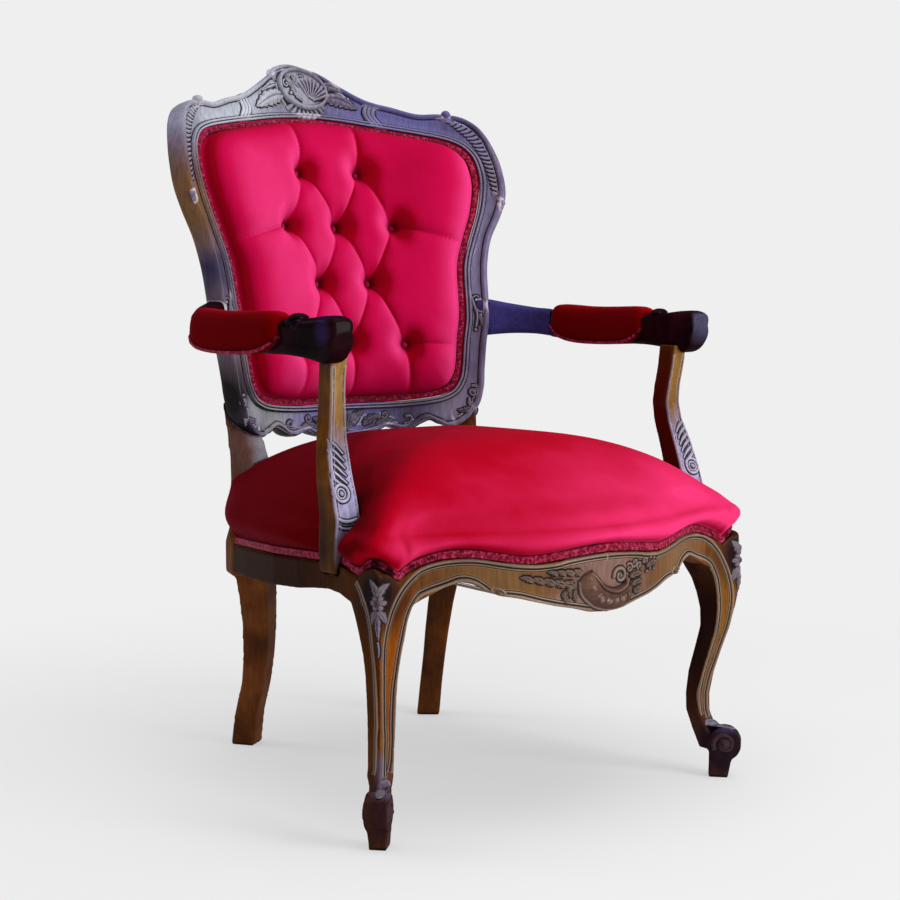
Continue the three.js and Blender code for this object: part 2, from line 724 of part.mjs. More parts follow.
// Arms: leave the posts outwards, turn forward and end in a squared scroll over the supports.
// Shares of the way out from the post, of armTuck, of armReach, of armDepth above the arm's height
// and in the arm's depth there, and of armHalfWidth.
const armShares = [
  [-0.002, 0, 0.5, 0.261, 1.16, 1.05],
  [0.214, 0, 0.43, 0.183, 1.1, 1],
  [0.469, 0, 0.37, 0.052, 0.96, 0.95],
  [0.725, 0, 0.305, -0.026, 0.9, 0.93],
  [0.89, 0, 0.245, -0.052, 0.88, 0.93],
  [0.917, 0, 0.237, -0.365, 0.56, 0.75],
  [1, 0, 0.1, -0.443, 0.58, 0.75],
  [1, -0.03, -0.1, -0.482, 0.6, 0.75],
  [1, 0.08, -0.3, -0.456, 0.58, 0.75],
  [1, 0.33, -0.5, -0.417, 0.56, 0.75],
  [1, 0.47, -0.56, -0.391, 0.56, 0.78],
  [1, 0.5, -0.568, -0.065, 0.9, 0.9],
  [1, 0.75, -0.7, -0.052, 0.98, 0.9],
  [1, 0.91, -0.8, -0.013, 1.02, 0.98],
  [1, 1, -0.9, 0, 1.02, 1.1],
  [1, 1, -0.955, 0, 0.8, 1.2],
  [1, 1, -1.005, -0.13, 0.42, 1.15],
];
const armRoot = openingHalf * 0.95;
const armRows = armShares.map(([out, tuck, y, rise, depth, half]) => {
  const x = mix(armRoot, armHalfSpread, out) - armTuck * tuck;
  const z = armHeight + armDepth * rise;
  return [x, armReach * y, z, z - armDepth * depth, armHalfWidth * half];
});
const armSection = [
  [-0.55, 0], [0.55, 0], [1, 0.16], [0.92, 0.5], [1, 0.86],
  [0.62, 1], [-0.62, 1], [-1, 0.86], [-0.92, 0.5], [-1, 0.16],
];
function armRing(rows, i, half, top, low) {
  const before = rows[Math.max(i - 1, 0)];
  const after = rows[Math.min(i + 1, rows.length - 1)];
  const side = V(after[1] - before[1], before[0] - after[0], 0).normalize().negate();
  const middle = V(rows[i][0], rows[i][1], 0);
  return armSection.map(([across, up]) => stepped(middle, side, half * across).setZ(mix(low, top, up)));
}
let arm = loft(armRows.map(([, , top, low, half], i) => armRing(armRows, i, half, top, low)));
const armOut = towards(V(armRows[0][0], armRows[0][1], 0), V(armRows[1][0], armRows[1][1], 0));
arm = mainBody(arm.subtract(postClear));
const armTenon = tenonPair(
  stepped(V(armRows[0][0], armRows[0][1], armHeight - armDepth * 0.3), armOut, tenonLength * 0.1),
  armOut, V(-armOut.y, armOut.x, 0), tenonLength, armDepth / 2, tenonThickness,
);
arm = arm.add(armTenon.tenon);
post = post.subtract(armTenon.mortise);
support = support.subtract(moved(arm, upwards, -gap)).add(headTenon.tenon);
arm = arm.subtract(headTenon.mortise);

// The side rail stops at the leg, the post and the support, which stands on its show wood.
const sideRailClear = loft(grown(sideRailRings, softGap));
let sideRail = mainBody(loft(sideRailRings).subtract(legClear).subtract(postClear).subtract(rebateCut));
support = support.add(footTenon.tenon);
sideRail = sideRail.subtract(supportClear).subtract(footTenon.mortise);
sideRail = sideRail.add(sideTenon.tenon).add(postTenon.tenon);
post = post.subtract(postTenon.mortise).subtract(rearTenon.mortise);
const rearRail = plusBoth(
  mainBody(minusBoth(loft(rearRailRings), postClear).subtract(rebateCut)), rearTenon.tenon,
);

// Corner blocks behind the seat frame's corners, each with one screw.
// Plan corners are set in from the seat's corner by shares of kneeWidth, or of rearLegSide.
function cornerBlock(corners, drop) {
  const ring = (down) => corners.map(([x, y]) => V(x, y, deckZ(y) - down));
  return loft([ring(drop + blockHeight), ring(drop)]);
}
const screwRings = (head, along, grow) => {
  const across = along.clone().cross(V(0, 0, 1)).normalize();
  const up = across.clone().cross(along).normalize();
  const circle = (distance, radius) =>
    Array.from({ length: screwSides }, (_, i) => {
      const turn = (2 * Math.PI * i) / screwSides;
      const at = stepped(head, along, distance);
      return stepped(stepped(at, across, Math.cos(turn) * radius), up, Math.sin(turn) * radius);
    });
  return [
    circle(-grow - screwHeadHeight, screwHeadRadius + grow),
    circle(0, screwHeadRadius + grow),
    circle(0, screwRadius + grow),
    circle(screwLength * 0.9, screwRadius + grow),
    circle(screwLength + grow, grow + screwRadius / 5),
  ];
};
function screwAt(corners, drop) {
  const [start, end] = [corners[corners.length - 1], corners[corners.length - 2]];
  const middle = V((start[0] + end[0]) / 2, (start[1] + end[1]) / 2, 0);
  const along = V(start[1] - end[1], end[0] - start[0], 0).normalize();
  if (along.dot(middle.clone().sub(V(0, -screwLength, 0))) < 0) along.negate();
  const head = stepped(middle, along, -2 * gap).setZ(deckZ(middle.y) - drop - blockHeight / 2);
  return { screw: loft(screwRings(head, along, 0)), hole: loft(screwRings(head, along, gap)) };
}
const frontBlockShares = [[2.435, -0.236], [0.634, 0.355], [0.195, 2.184], [0.634, 2.27], [2.19, 0.355]];
const rearBlockShares = [
  [2.558, -0.272], [1.047, 0.361], [-0.278, 2.308], [0.278, 2.536], [2.836, 0.497],
];
const frontBlockCorners = frontBlockShares.map(([x, y]) =>
  [frontHalf - kneeWidth * x, -frontReach + kneeWidth * y]);
const rearBlockCorners = rearBlockShares.map(([x, y]) =>
  [rearHalf - rearLegSide * x, rearReach - rearLegSide * y]);
const frontScrew = screwAt(frontBlockCorners, blockDrop);
const rearScrew = screwAt(rearBlockCorners, blockDrop);
const frontBlock = cornerBlock(frontBlockCorners, blockDrop)
  .subtract(legClear)
  .subtract(sideRailClear)
  .subtract(moved(frontRail, V(1, 1, 0), 2 * gap))
  .subtract(frontScrew.hole);
const rearBlock = cornerBlock(rearBlockCorners, blockDrop)
  .subtract(postClear)
  .subtract(moved(rearRail, V(1, -1, 0), 2 * gap))
  .subtract(sideRailClear)
  .subtract(rearScrew.hole);
frontLeg = frontLeg.subtract(frontScrew.hole);
post = post.subtract(rearScrew.hole);

// Webbing across the seat frame: a point on it is so far above the deck.
const overDeck = (x, y, up) => V(x, y, deckZ(y) + up);
const strapRing = (p, side, up) =>
  [[-1, 0], [1, 0], [1, 1], [-1, 1]].map(([a, b]) => {
    const at = stepped(p, side, (a * strapWidth) / 2);
    return overDeck(at.x, at.y, gap + up + b * strapThickness);
  });
const weave = strapThickness + softGap;
const longStrap = (x, front, rear) =>
  loft([front, rear].map((y) => strapRing(V(x, y, 0), outwards, 0)));
const crossStrap = (y, half, first) => {
  const crossing = strapWidth * 0.6;
  const inner = half - railThickness;
  const stations = [
    [-half, 0], [-inner, 0], [-strapSpacing - crossing, first], [-strapSpacing + crossing, first],
    [-crossing, -first], [crossing, -first],
    [strapSpacing - crossing, first], [strapSpacing + crossing, first], [inner, 0], [half, 0],
  ];
  return loft(stations.map(([x, lift]) => strapRing(V(x, y, 0), rearwards, lift * weave)));
};

// The seat's upholstery: loops that follow the tacking line, then close in over the crown.
// Share of sideBulge at each point of the half line: more along the sides, less round the posts.
const bulgeShares = [
  1, 1, 1, 1, 1, 1, 1, 1, 1, 1, 1, 1, 1.05, 1.15, 1.35, 1.4, 1.45, 1.55, 1.1, 0.4, 0.2, 0.4, 1, 1,
];
const bulgeAt = tackingLoop.map((_, i) =>
  bulgeShares[i < tackingHalf.length ? i : tackingLoop.length - i]);
const seatMiddle = V(0, -frontReach / 3, 0);
const crownHeight = seatHeight + seatCrown;
const seatDepth = frontReach + rearReach;
const rimZ = (y) => seatHeight + seatRim + rimRise * ((y + frontReach) / seatDepth) ** 2;
// Side rows: shares of sideBulge and of the way from the gimp's top up to the rim. Crown rows:
// share of the way in, share of the rise.
const sideProfileShares = [[0, 0], [0.8, 0.28], [0.95, 0.6], [0.1, 1]];
const gimpTop = gimpWidth + 4 * gap;
const crownShares = [[0.11, 0.29], [0.25, 0.57], [0.45, 0.82], [0.7, 0.97]];
function seatLoops(inset) {
  const outer = gap + coverThickness - inset;
  const low = tackingLoop.map((_, i) => beside(i, outer, gap));
  const sides = sideProfileShares.map(([out, up]) =>
    tackingLoop.map((p, i) => {
      const swell = sideBulge * out * bulgeAt[i];
      return beside(i, outer + swell, 0).setZ(mix(p.z + gimpTop, rimZ(p.y) - inset, up));
    }));
  const rim = last(sides);
  const crown = crownShares.map(([inward, rise]) =>
    rim.map((p) => p.clone().lerp(seatMiddle, inward).setZ(mix(p.z, crownHeight - inset, rise))));
  return [low, ...sides, ...crown];
}
const allPosts = (solid) => minusBoth(minusBoth(solid, postClear), supportClear);
const seatOuter = seatLoops(0);
const seatInner = seatLoops(coverThickness);
const seatCover = allPosts(loft([...seatOuter.slice().reverse(), ...seatInner]));
const deckSlab = loft([-1, 1].map((end) => {
  const half = frontHalf * 2;
  const y = end * frontReach * 2;
  const top = weave + strapThickness + sheetThickness + 3 * gap;
  const edge = [[-half, -frontHalf], [half, -frontHalf], [half, top], [-half, top]];
  return edge.map(([x, up]) => overDeck(x, y, up));
}));
const seatFoam = allPosts(loft(seatLoops(coverThickness + softGap)).subtract(deckSlab));
const hessianLoop = (inset, up) =>
  tackingLoop.map((p, i) => {
    const at = stepped(p, tackingOut[i], -inset);
    return overDeck(at.x, at.y, up);
  });
const hessianUp = weave + strapThickness + 2 * gap;
const seatHessian = allPosts(
  loft([hessianLoop(rebate / 2, hessianUp), hessianLoop(rebate / 2, hessianUp + sheetThickness)]),
);

// Gimp over the seat cover's edge, in four lengths between the supports and the posts.
const gimpOut = gap + coverThickness + gap;
const unitSquare = [[0, 0], [1, 0], [1, 1], [0, 1]];
const gimpAlong = (first, final) =>
  loft(Array.from({ length: final - first + 1 }, (_, k) =>
    unitSquare.map(([a, b]) =>
      beside(first + k, gimpOut + a * gimpThickness, 2 * gap + b * gimpWidth))));
const supportIndex = 13;
const postIndex = 19;
const frontGimp = minusBoth(gimpAlong(-supportIndex, supportIndex), supportClear);
const sideGimp = gimpAlong(supportIndex, postIndex).subtract(supportClear).subtract(postClear);
const rearGimp = minusBoth(gimpAlong(postIndex + 1, tackingLoop.length - postIndex - 1), postClear);

// Dust cover under the seat, inside the rails.
const innerFace = (rings, keep) => rings.map((ring) => ring[7]).filter(keep);
const frontInner = innerFace(frontRailRings, (p) => Math.abs(p.x) < frontHalf - kneeWidth);
const sideInner = innerFace(sideRailRings, (p) => p.y > legBack && p.y < rearReach * 0.7);
const rearInner = innerFace(rearRailRings, (p) => Math.abs(p.x) < rearHalf * 0.7);
const dustLine = [...frontInner, ...sideInner, ...rearInner, ...sideInner.map(mirrorX).reverse()];
const dustCentre = V(0, -frontReach / 4, 0);
const dustLoop = (up) =>
  dustLine.map((p) => {
    const at = stepped(p, towards(p, V(dustCentre.x, dustCentre.y, p.z)), 2 * softGap);
    return overDeck(at.x, at.y, up);
  });
const dustTop = -blockDrop - blockHeight - gap;
const dustCover = minusBoth(
  minusBoth(loft([dustLoop(dustTop - sheetThickness), dustLoop(dustTop)]), legClear), postClear,
);

// The back's upholstery lies on a patch stretched between the opening's four sides.
// Shares run from -1 to 1 across and upwards.
const flat = (x, z) => V(openingX(x), 0, openingZ(z));
const fourSides = {
  bottom: lowerShares.map(([x, z]) => flat(x, z)),
  side: [flat(...lowerShares[lowerShares.length - 1]), ...stileShares.map(([x, z]) => flat(x, z))],
  top: crestShares.map(([x, z]) => flat(x, z)).reverse(),
};
const bothHalves = (points) => [...points.slice(1).reverse().map(mirrorX), ...points];
const curveOf = (points) => {
  const curve = new THREE.CatmullRomCurve3(points);
  return (share) => curve.getPointAt(THREE.MathUtils.clamp((share + 1) / 2, 0, 1));
};
const bottomCurve = curveOf(bothHalves(fourSides.bottom));
const topCurve = curveOf(bothHalves(fourSides.top));
const sideCurve = curveOf(fourSides.side);
function patchAt(s, t) {
  const across = (s + 1) / 2;
  const up = (t + 1) / 2;
  const ends = bottomCurve(s).lerp(topCurve(s), up);
  const sides = mirrorX(sideCurve(t)).lerp(sideCurve(t), across);
  const low = bottomCurve(-1).lerp(bottomCurve(1), across);
  const corners = low.lerp(topCurve(-1).lerp(topCurve(1), across), up);
  return ends.add(sides).sub(corners);
}
const inFront = (x, z, forward) => stepped(onBack(x, z), backward(x, z), -forward);

// Buttons: places as shares of the opening's half width and height.
const tuftShares = [
  [0.226, 0.781], [-0.226, 0.781],
  [0.411, 0.598], [0, 0.594], [-0.411, 0.598],
  [0.194, 0.404], [-0.194, 0.404],
  [0.403, 0.194], [0, 0.203], [-0.403, 0.194],
];
const tufts = tuftShares.map(([x, z]) => [openingX(x), openingZ(z)]);
const rimShare = 1 - (gimpWidth + 3 * gap) / openingHalf;
const fading = (share, power) => Math.max(0, 1 - Math.abs(share / rimShare) ** power);
// How far in front of the back's face the pad's skin is.
function padFace(s, t, x, z) {
  const crown = (backPadRise + rimSetback) * fading(s, 6) * fading(t, 6);
  const dip = tufts.reduce((sum, [tuftX, tuftZ]) => {
    const distance = Math.hypot(x - tuftX, z - tuftZ) / tuftRadius;
    return Math.max(sum, Math.exp(-distance * distance));
  }, 0);
  return crown - rimSetback - tuftDepth * dip;
}
const columnShares = [0.12, 0.23, 0.34, 0.46, 0.6, 0.76, 0.89, 0.955, 1];
const rowShares = [-1, -0.95, -0.82, -0.61, -0.4, -0.19, 0, 0.19, 0.38, 0.57, 0.74, 0.88, 0.95, 1];
const columns = [...columnShares.slice().reverse().map((share) => -share), 0, ...columnShares];
const within = (shares, limit) => shares.filter((share) => Math.abs(share) <= limit);
const coverGrid = [columns, rowShares];
const foamGrid = [within(columns, foamShare), within(rowShares, foamShare)];
const sheetShares = [-1, -0.84, -0.67, -0.5, -0.33, -0.16, 0, 0.16, 0.33, 0.5, 0.67, 0.84, 1];
const sheetGrid = [sheetShares, sheetShares.filter((_, i) => i % 2 === 0)];
// A sheet between two skins on the patch; each skin gives a point its distance in front of the face.
function patchSolid([across, up], size, frontSkin, rearSkin) {
  const skin = (height) => up.flatMap((t) => across.map((s) => {
    const p = patchAt(s * size, t * size);
    return inFront(p.x, p.z, height(s, t, p.x, p.z));
  }));
  const points = [...skin(frontSkin), ...skin(rearSkin)];
  const half = points.length / 2;
  const index = (row, column) => row * across.length + column;
  const triangles = [];
  const edge = [];
  for (let row = 0; row < up.length - 1; row++)
    for (let column = 0; column < across.length - 1; column++) {
      const [a, b] = [index(row, column), index(row, column + 1)];
      const [d, c] = [index(row + 1, column), index(row + 1, column + 1)];
      triangles.push([a, b, c], [a, c, d]);
      triangles.push([half + c, half + b, half + a], [half + d, half + c, half + a]);
      if (row === 0) edge.push([b, a]);
      if (row === up.length - 2) edge.push([d, c]);
      if (column === 0) edge.push([a, d]);
      if (column === across.length - 2) edge.push([c, b]);
    }
  edge.forEach(([a, b]) => triangles.push([a, b, half + b], [a, half + b, half + a]));
  return solidOf(points, triangles);
}
const lipFace = -lipSetback;
const strapFace = lipFace + 2 * softGap + strapThickness;
const hessianFace = strapFace + 2 * softGap + sheetThickness;
const sheetBetween = (face, thickness) =>
  patchSolid(sheetGrid, sheetShare, () => face, () => face - thickness);
const backHessian = sheetBetween(hessianFace, sheetThickness);
const buttonSolids = tufts.map(([x, z]) => {
  const height = backPadRise - tuftDepth;
  const centre = inFront(x, z, height + buttonThickness / 2);
  const along = backward(x, z).negate();
  const basis = new THREE.Matrix4().lookAt(V(0, 0, 0), along, V(0, 0, 1));
  const disc = (grow) => {
    const radius = buttonRadius + grow;
    const button = new THREE.CylinderGeometry(
      radius, radius * 0.8, buttonThickness + 2 * grow, buttonSides,
    );
    const turned = button.rotateX(-Math.PI / 2).applyMatrix4(basis);
    return solidFrom(turned.translate(...centre));
  };
  return { button: disc(0), clear: disc(softGap) };
});
const minusButtons = (solid) => buttonSolids.reduce((rest, { clear }) => rest.subtract(clear), solid);
const backCover = minusButtons(
  patchSolid(coverGrid, patchShare, padFace, (...at) => padFace(...at) - coverThickness),
);
const foamSkin = (...at) => padFace(...at) - coverThickness - softGap;
const backFoam = minusButtons(
  patchSolid(foamGrid, patchShare, foamSkin, () => hessianFace + 2 * softGap),
);

// Straps inside the back, from the lower rail's lip to the crest's: shares of the opening's height.
const strapShares = [0.003, 0.979];
function backStrap(x) {
  const low = openingZ(strapShares[0]) + 2 * softGap;
  const high = openingZ(strapShares[1]) - 2 * softGap;
  const stations = 7;
  return loft(Array.from({ length: stations }, (_, i) => {
    const z = mix(low, high, i / (stations - 1));
    const at = (side, height) => inFront(x + (side * strapWidth) / 2, z, height);
    const [rear, front] = [strapFace - strapThickness, strapFace];
    return [at(-1, rear), at(0, rear), at(1, rear), at(1, front), at(0, front), at(-1, front)];
  }));
}

// Gimps round the opening, and the cloth on the outside of the back.
const rimLine = [
  ...columns.slice(0, -1).map((s) => [s, -1]),
  ...rowShares.slice(0, -1).map((t) => [1, t]),
  ...columns.slice(1).reverse().map((s) => [s, 1]),
  ...rowShares.slice(1).reverse().map((t) => [-1, t]),
];
function rimBand(face, thickness) {
  const at = ([s, t], share, height) => {
    const p = patchAt(s * share, t * share);
    return inFront(p.x, p.z, height);
  };
  const inner = gimpShare - gimpWidth / openingHalf;
  return loft(rimLine.map((place) => [
    at(place, gimpShare, face),
    at(place, mix(gimpShare, inner, 0.5), face + thickness),
    at(place, inner, face),
  ]), true);
}
const backGimp = rimBand(-rimSetback + 1.5 * softGap, gimpThickness);
const outsideFace = lipFace - (frameDepth - 2 * lipSetback) - 2 * softGap;
const outsideBack = sheetBetween(outsideFace, coverThickness);
const outsideGimp = rimBand(outsideFace - coverThickness - 2 * softGap, -gimpThickness);

// Arm pads over the narrowed middle of each arm.
const coreRows = armRows.slice(5, 11);
const armLine = new THREE.CatmullRomCurve3(coreRows.map(([x, y, top]) => V(x, y, top)));
// Share along the pad, width, rise, and how far its lower edge comes down.
const padShares = [
  [0.035, 0.74, 0.45, 0.02],
  [0.09, 0.94, 0.84, 0.55],
  [0.22, 1, 1, 0.9],
  [0.5, 1, 1, 1],
  [0.78, 1, 1, 0.9],
  [0.91, 0.94, 0.84, 0.55],
  [0.965, 0.74, 0.45, 0.02],
];
const padSection = [
  [-0.95, 0], [-0.95, 0.2], [-1, 0.5], [-0.8, 0.86], [0, 1],
  [0.8, 0.86], [1, 0.5], [0.95, 0.2], [0.95, 0],
];
const padSide = armDepth * 0.56; // how far the pad's sides come down the arm
function padRings(inset, drop) {
  return padShares.map(([along, width, rise, down], i) => {
    const middle = armLine.getPointAt(along);
    const tangent = armLine.getTangentAt(along).setZ(0).normalize();
    const side = V(tangent.y, -tangent.x, 0);
    const end = i === 0 ? inset : i === padShares.length - 1 ? -inset : 0;
    const base = stepped(middle, tangent, end);
    const low = middle.z + 2 * softGap - padSide * down;
    const top = middle.z + armPadRise * 2 * rise;
    return padSection.map(([across, up]) => {
      const reachOut = (armPadHalf - inset) * width * across;
      return stepped(base, side, reachOut).setZ(mix(low, top - inset, up) - (up === 0 ? drop : 0));
    });
  });
}
const coreRings = coreRows.map(([, , top, low, half], i) => armRing(coreRows, i, half, top, low));
const armCore = loft(grown(coreRings, softGap));
const armHollow = loft(padRings(coverThickness, armDepth));
const armCover = loft(padRings(0, 0)).subtract(armHollow).subtract(armCore);
const armFoam = loft(padRings(coverThickness + softGap, 0)).subtract(armCore);
const armGimpWidth = gimpWidth * 0.7;
const padEdge = padRings(0, 0);
const edgeLine = [...padEdge.map((ring) => ring[0]), ...padEdge.map((ring) => ring[8]).reverse()];
const armGimpRings = edgeLine.map((p, i) => {
  const before = edgeLine[(i + edgeLine.length - 1) % edgeLine.length];
  const after = edgeLine[(i + 1) % edgeLine.length];
  const out = V(before.y - after.y, after.x - before.x, 0).normalize();
  return unitSquare.map(([a, b]) =>
    stepped(stepped(p, out, 2 * softGap + a * gimpThickness), upwards, b * armGimpWidth));
});
const armGimp = loft(armGimpRings, true);

place("crest_rail", crest, walnut);
place("back_lower_rail", lowerRail, walnut);
placePair("rear_post", post, walnut);
place("front_seat_rail", frontRail, walnut);
placePair("side_seat_rail", sideRail, walnut);
place("rear_seat_rail", rearRail, walnut);
placePair("front_leg", frontLeg, walnut);
placePair("arm_support", support, walnut);
placePair("arm", arm, walnut);
placePair("front_corner_block", frontBlock, beech);
placePair("rear_corner_block", rearBlock, beech);
placePair("front_block_screw", frontScrew.screw, steel);
placePair("rear_block_screw", rearScrew.screw, steel);
place("seat_strap_middle", longStrap(0, -frontReach * 1.14, rearReach * 1.08), jute);
placePair("seat_strap_side", longStrap(strapSpacing, -frontReach * 1.09, rearReach * 1.03), jute);
place("seat_strap_cross_front", crossStrap(-frontReach * 0.58, frontHalf * 0.92, 1), jute);
place("seat_strap_cross_rear", crossStrap(-frontReach * 0.08, frontHalf * 0.83, -1), jute);
place("seat_hessian", seatHessian, jute);
place("seat_foam", seatFoam, foam);
place("seat_cover", seatCover, velvet);
place("seat_gimp_front", frontGimp, braid);
placePair("seat_gimp_side", sideGimp, braid);
place("seat_gimp_rear", rearGimp, braid);
place("dust_cover", dustCover, blackCloth);
placePair("back_strap", backStrap(backStrapHalf), jute);
place("back_hessian", backHessian, jute);
place("back_foam", backFoam, foam);
place("back_cover", backCover, velvet);
buttonSolids.forEach(({ button }, i) => place("back_button_" + (i + 1), button, velvet));
place("back_gimp", backGimp, braid);
place("outside_back_cover", outsideBack, velvet);
place("outside_back_gimp", outsideGimp, braid);
placePair("arm_pad_foam", armFoam, foam);
placePair("arm_pad_cover", armCover, velvet);
placePair("arm_pad_gimp", armGimp, braid);

// The origin is the middle of the footprint, on the floor.
const footprint = new THREE.Box3().setFromObject(chair);
chair.position.y = -(footprint.min.y + footprint.max.y) / 2;

export default chair;
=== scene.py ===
# An open armchair in the Louis XV manner: a carved and lacquered walnut frame with a bowed back,
# a crimson velvet seat, a deep-buttoned velvet back and padded arm rests, edged with braid.
import math

import bmesh
import bpy
import numpy as np
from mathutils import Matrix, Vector
from mathutils.bvhtree import BVHTree


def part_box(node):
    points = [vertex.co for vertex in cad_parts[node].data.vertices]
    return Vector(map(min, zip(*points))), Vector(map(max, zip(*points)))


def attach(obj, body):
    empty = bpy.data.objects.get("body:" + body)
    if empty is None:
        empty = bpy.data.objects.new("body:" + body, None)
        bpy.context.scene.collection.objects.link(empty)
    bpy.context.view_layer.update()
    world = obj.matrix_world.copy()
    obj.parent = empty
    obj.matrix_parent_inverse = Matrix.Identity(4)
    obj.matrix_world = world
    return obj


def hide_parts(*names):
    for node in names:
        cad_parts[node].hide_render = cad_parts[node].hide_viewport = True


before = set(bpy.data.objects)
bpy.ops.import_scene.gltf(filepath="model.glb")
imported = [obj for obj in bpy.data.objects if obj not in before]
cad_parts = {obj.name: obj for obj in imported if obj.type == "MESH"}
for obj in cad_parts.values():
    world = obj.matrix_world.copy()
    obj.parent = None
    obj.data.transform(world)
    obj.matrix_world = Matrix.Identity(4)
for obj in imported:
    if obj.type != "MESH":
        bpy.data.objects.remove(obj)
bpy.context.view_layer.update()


# The back frame: crest rail, stiles and lower rail, glued up in walnut and carved as one moulded
# band round the opening. A double bead runs along the sight edge, a hollow follows, and a thin
# roll finishes the outer edge. The band follows a back that is raked, swept and barrel-bowed.
band_depth = 0.030
back_waist = 0.700
back_rake = 0.236
back_sweep = 1.734
back_barrel = 0.356
front_rail_nose = 0.438
back_setback = 0.2195
frame_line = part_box("front_seat_rail")[0].y + front_rail_nose
back_at_waist = frame_line + back_setback

opening_edge = [
    (0.000, 0.946), (0.035, 0.945), (0.069, 0.942), (0.104, 0.937), (0.139, 0.932), (0.174, 0.926),
    (0.203, 0.920), (0.225, 0.912), (0.238, 0.901), (0.246, 0.884), (0.248, 0.856), (0.244, 0.830),
    (0.236, 0.800), (0.223, 0.765), (0.211, 0.730), (0.206, 0.701), (0.202, 0.639), (0.195, 0.600),
    (0.189, 0.558), (0.184, 0.540), (0.174, 0.525), (0.161, 0.518), (0.152, 0.5152), (0.146, 0.5140),
    (0.139, 0.5128), (0.130, 0.5116), (0.119, 0.5106), (0.108, 0.5097), (0.096, 0.5089), (0.083, 0.5084),
    (0.071, 0.5081), (0.058, 0.5080), (0.037, 0.5080), (0.000, 0.5080),
]
outer_edge = [
    (0.000, 1.028), (0.037, 1.021), (0.072, 1.000), (0.109, 0.980), (0.146, 0.970), (0.181, 0.960),
    (0.213, 0.960), (0.243, 0.954), (0.264, 0.933), (0.276, 0.893), (0.279, 0.856), (0.2765, 0.830),
    (0.266, 0.800), (0.250, 0.765), (0.241, 0.730), (0.237, 0.701), (0.233, 0.639), (0.226, 0.600),
    (0.220, 0.558), (0.217, 0.530), (0.208, 0.500), (0.185, 0.474), (0.166, 0.4675), (0.157, 0.4715),
    (0.148, 0.4755), (0.136, 0.4810), (0.122, 0.4760), (0.110, 0.4675), (0.096, 0.4640), (0.083, 0.4675),
    (0.071, 0.4710), (0.058, 0.4650), (0.037, 0.4600), (0.000, 0.4580),
]


def distances(points):
    """How far along a line each of its points lies."""
    return np.concatenate([[0], np.cumsum(np.linalg.norm(np.diff(points, axis=0), axis=1))])


def flowing(points, count, closed=False):
    """Evenly spaced points on the smooth curve through the given ones."""
    p = np.asarray(points, float)
    if closed:
        ends = np.vstack([p[-1:], p, p[:2]])
    else:
        ends = np.vstack([2 * p[:1] - p[1:2], p, 2 * p[-1:] - p[-2:-1]])
    t = np.linspace(0, 1, 12, endpoint=False)[:, None]
    runs = [
        0.5 * (2 * b + (c - a) * t + (2 * a - 5 * b + 4 * c - d) * t**2 + (3 * b - a - 3 * c + d) * t**3)
        for a, b, c, d in zip(ends, ends[1:], ends[2:], ends[3:])
    ]
    fine = np.vstack(runs + [p[:1] if closed else p[-1:]])
    along = distances(fine)
    where = np.linspace(0, along[-1], count, endpoint=not closed)
    return np.column_stack([np.interp(where, along, fine[:, k]) for k in range(fine.shape[1])])


def unit(directions):
    """The same directions, each one long."""
    return directions / np.linalg.norm(directions, axis=-1, keepdims=True)


def unit_side(line):
    """The direction square to the left of a line in its plane, at each of its points."""
    ahead = unit(np.gradient(line, axis=0))
    return np.column_stack([-ahead[:, 1], ahead[:, 0]])


def squarer(wave, power):
    """A sine or cosine made squarer, the more so the lower the power."""
    return np.sign(wave) * np.abs(wave) ** power


def whole_loop(half):
    """A half outline from the top middle down to the bottom middle, and its mirror image."""
    left = [(-x, z) for x, z in reversed(half[1:-1])]
    return list(half) + left


def back_depth(x, z):
    rise = z - back_waist
    return back_at_waist + back_rake * rise + rise * rise / (2 * back_sweep) - x * x / (2 * back_barrel)


def on_back(x, z, forward=0.0):
    """Points on the back's bowed face, or so far in front of it."""
    x, z = np.asarray(x, float), np.asarray(z, float)
    normal = np.stack([x / back_barrel, np.ones_like(x), -back_rake - (z - back_waist) / back_sweep], -1)
    face = np.stack([x, back_depth(x, z), z], -1)
    return face - unit(normal) * np.asarray(forward, float)[..., None]


def placed(name, data):
    """An object in the scene."""
    made = bpy.data.objects.new(name, data)
    bpy.context.scene.collection.objects.link(made)
    return made


def piece(name, points, faces, material):
    """A mesh object with its faces turned outwards."""
    mesh = bpy.data.meshes.new(name)
    mesh.from_pydata([tuple(p) for p in np.asarray(points).reshape(-1, 3)], [], faces)
    shell = bmesh.new()
    shell.from_mesh(mesh)
    bmesh.ops.recalc_face_normals(shell, faces=shell.faces)
    shell.to_mesh(mesh)
    shell.free()
    mesh.polygons.foreach_set("use_smooth", [True] * len(mesh.polygons))
    mesh.materials.append(material)
    return placed(name, mesh)


def skin_faces(rows, columns, looped=False, closed=True, start=0):
    """Faces of a skin over rows of points. Looped joins the last row to the first, and closed joins
    the ends of each row."""
    faces = []
    for i in range(rows if looped else rows - 1):
        for j in range(columns if closed else columns - 1):
            here, right = i * columns + j, i * columns + (j + 1) % columns
            below = ((i + 1) % rows) * columns
            faces.append((here + start, right + start, below + (j + 1) % columns + start, below + j + start))
    if closed and not looped:
        faces.append(tuple(start + j for j in reversed(range(columns))))
        faces.append(tuple(start + (rows - 1) * columns + j for j in range(columns)))
    return faces


def fasten(made, slot_name, *nodes):
    """The piece rides on the chair and stands for these nodes; the slot name is not used."""
    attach(made, "root")
    if nodes:
        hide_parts(*nodes)
    return made


def linear(hex_colour):
    """A written colour such as 7a4a20 as a linear one."""
    parts = [int(hex_colour[i:i + 2], 16) / 255 for i in (0, 2, 4)]
    return [c / 12.92 if c <= 0.04045 else ((c + 0.055) / 1.055) ** 2.4 for c in parts] + [1]


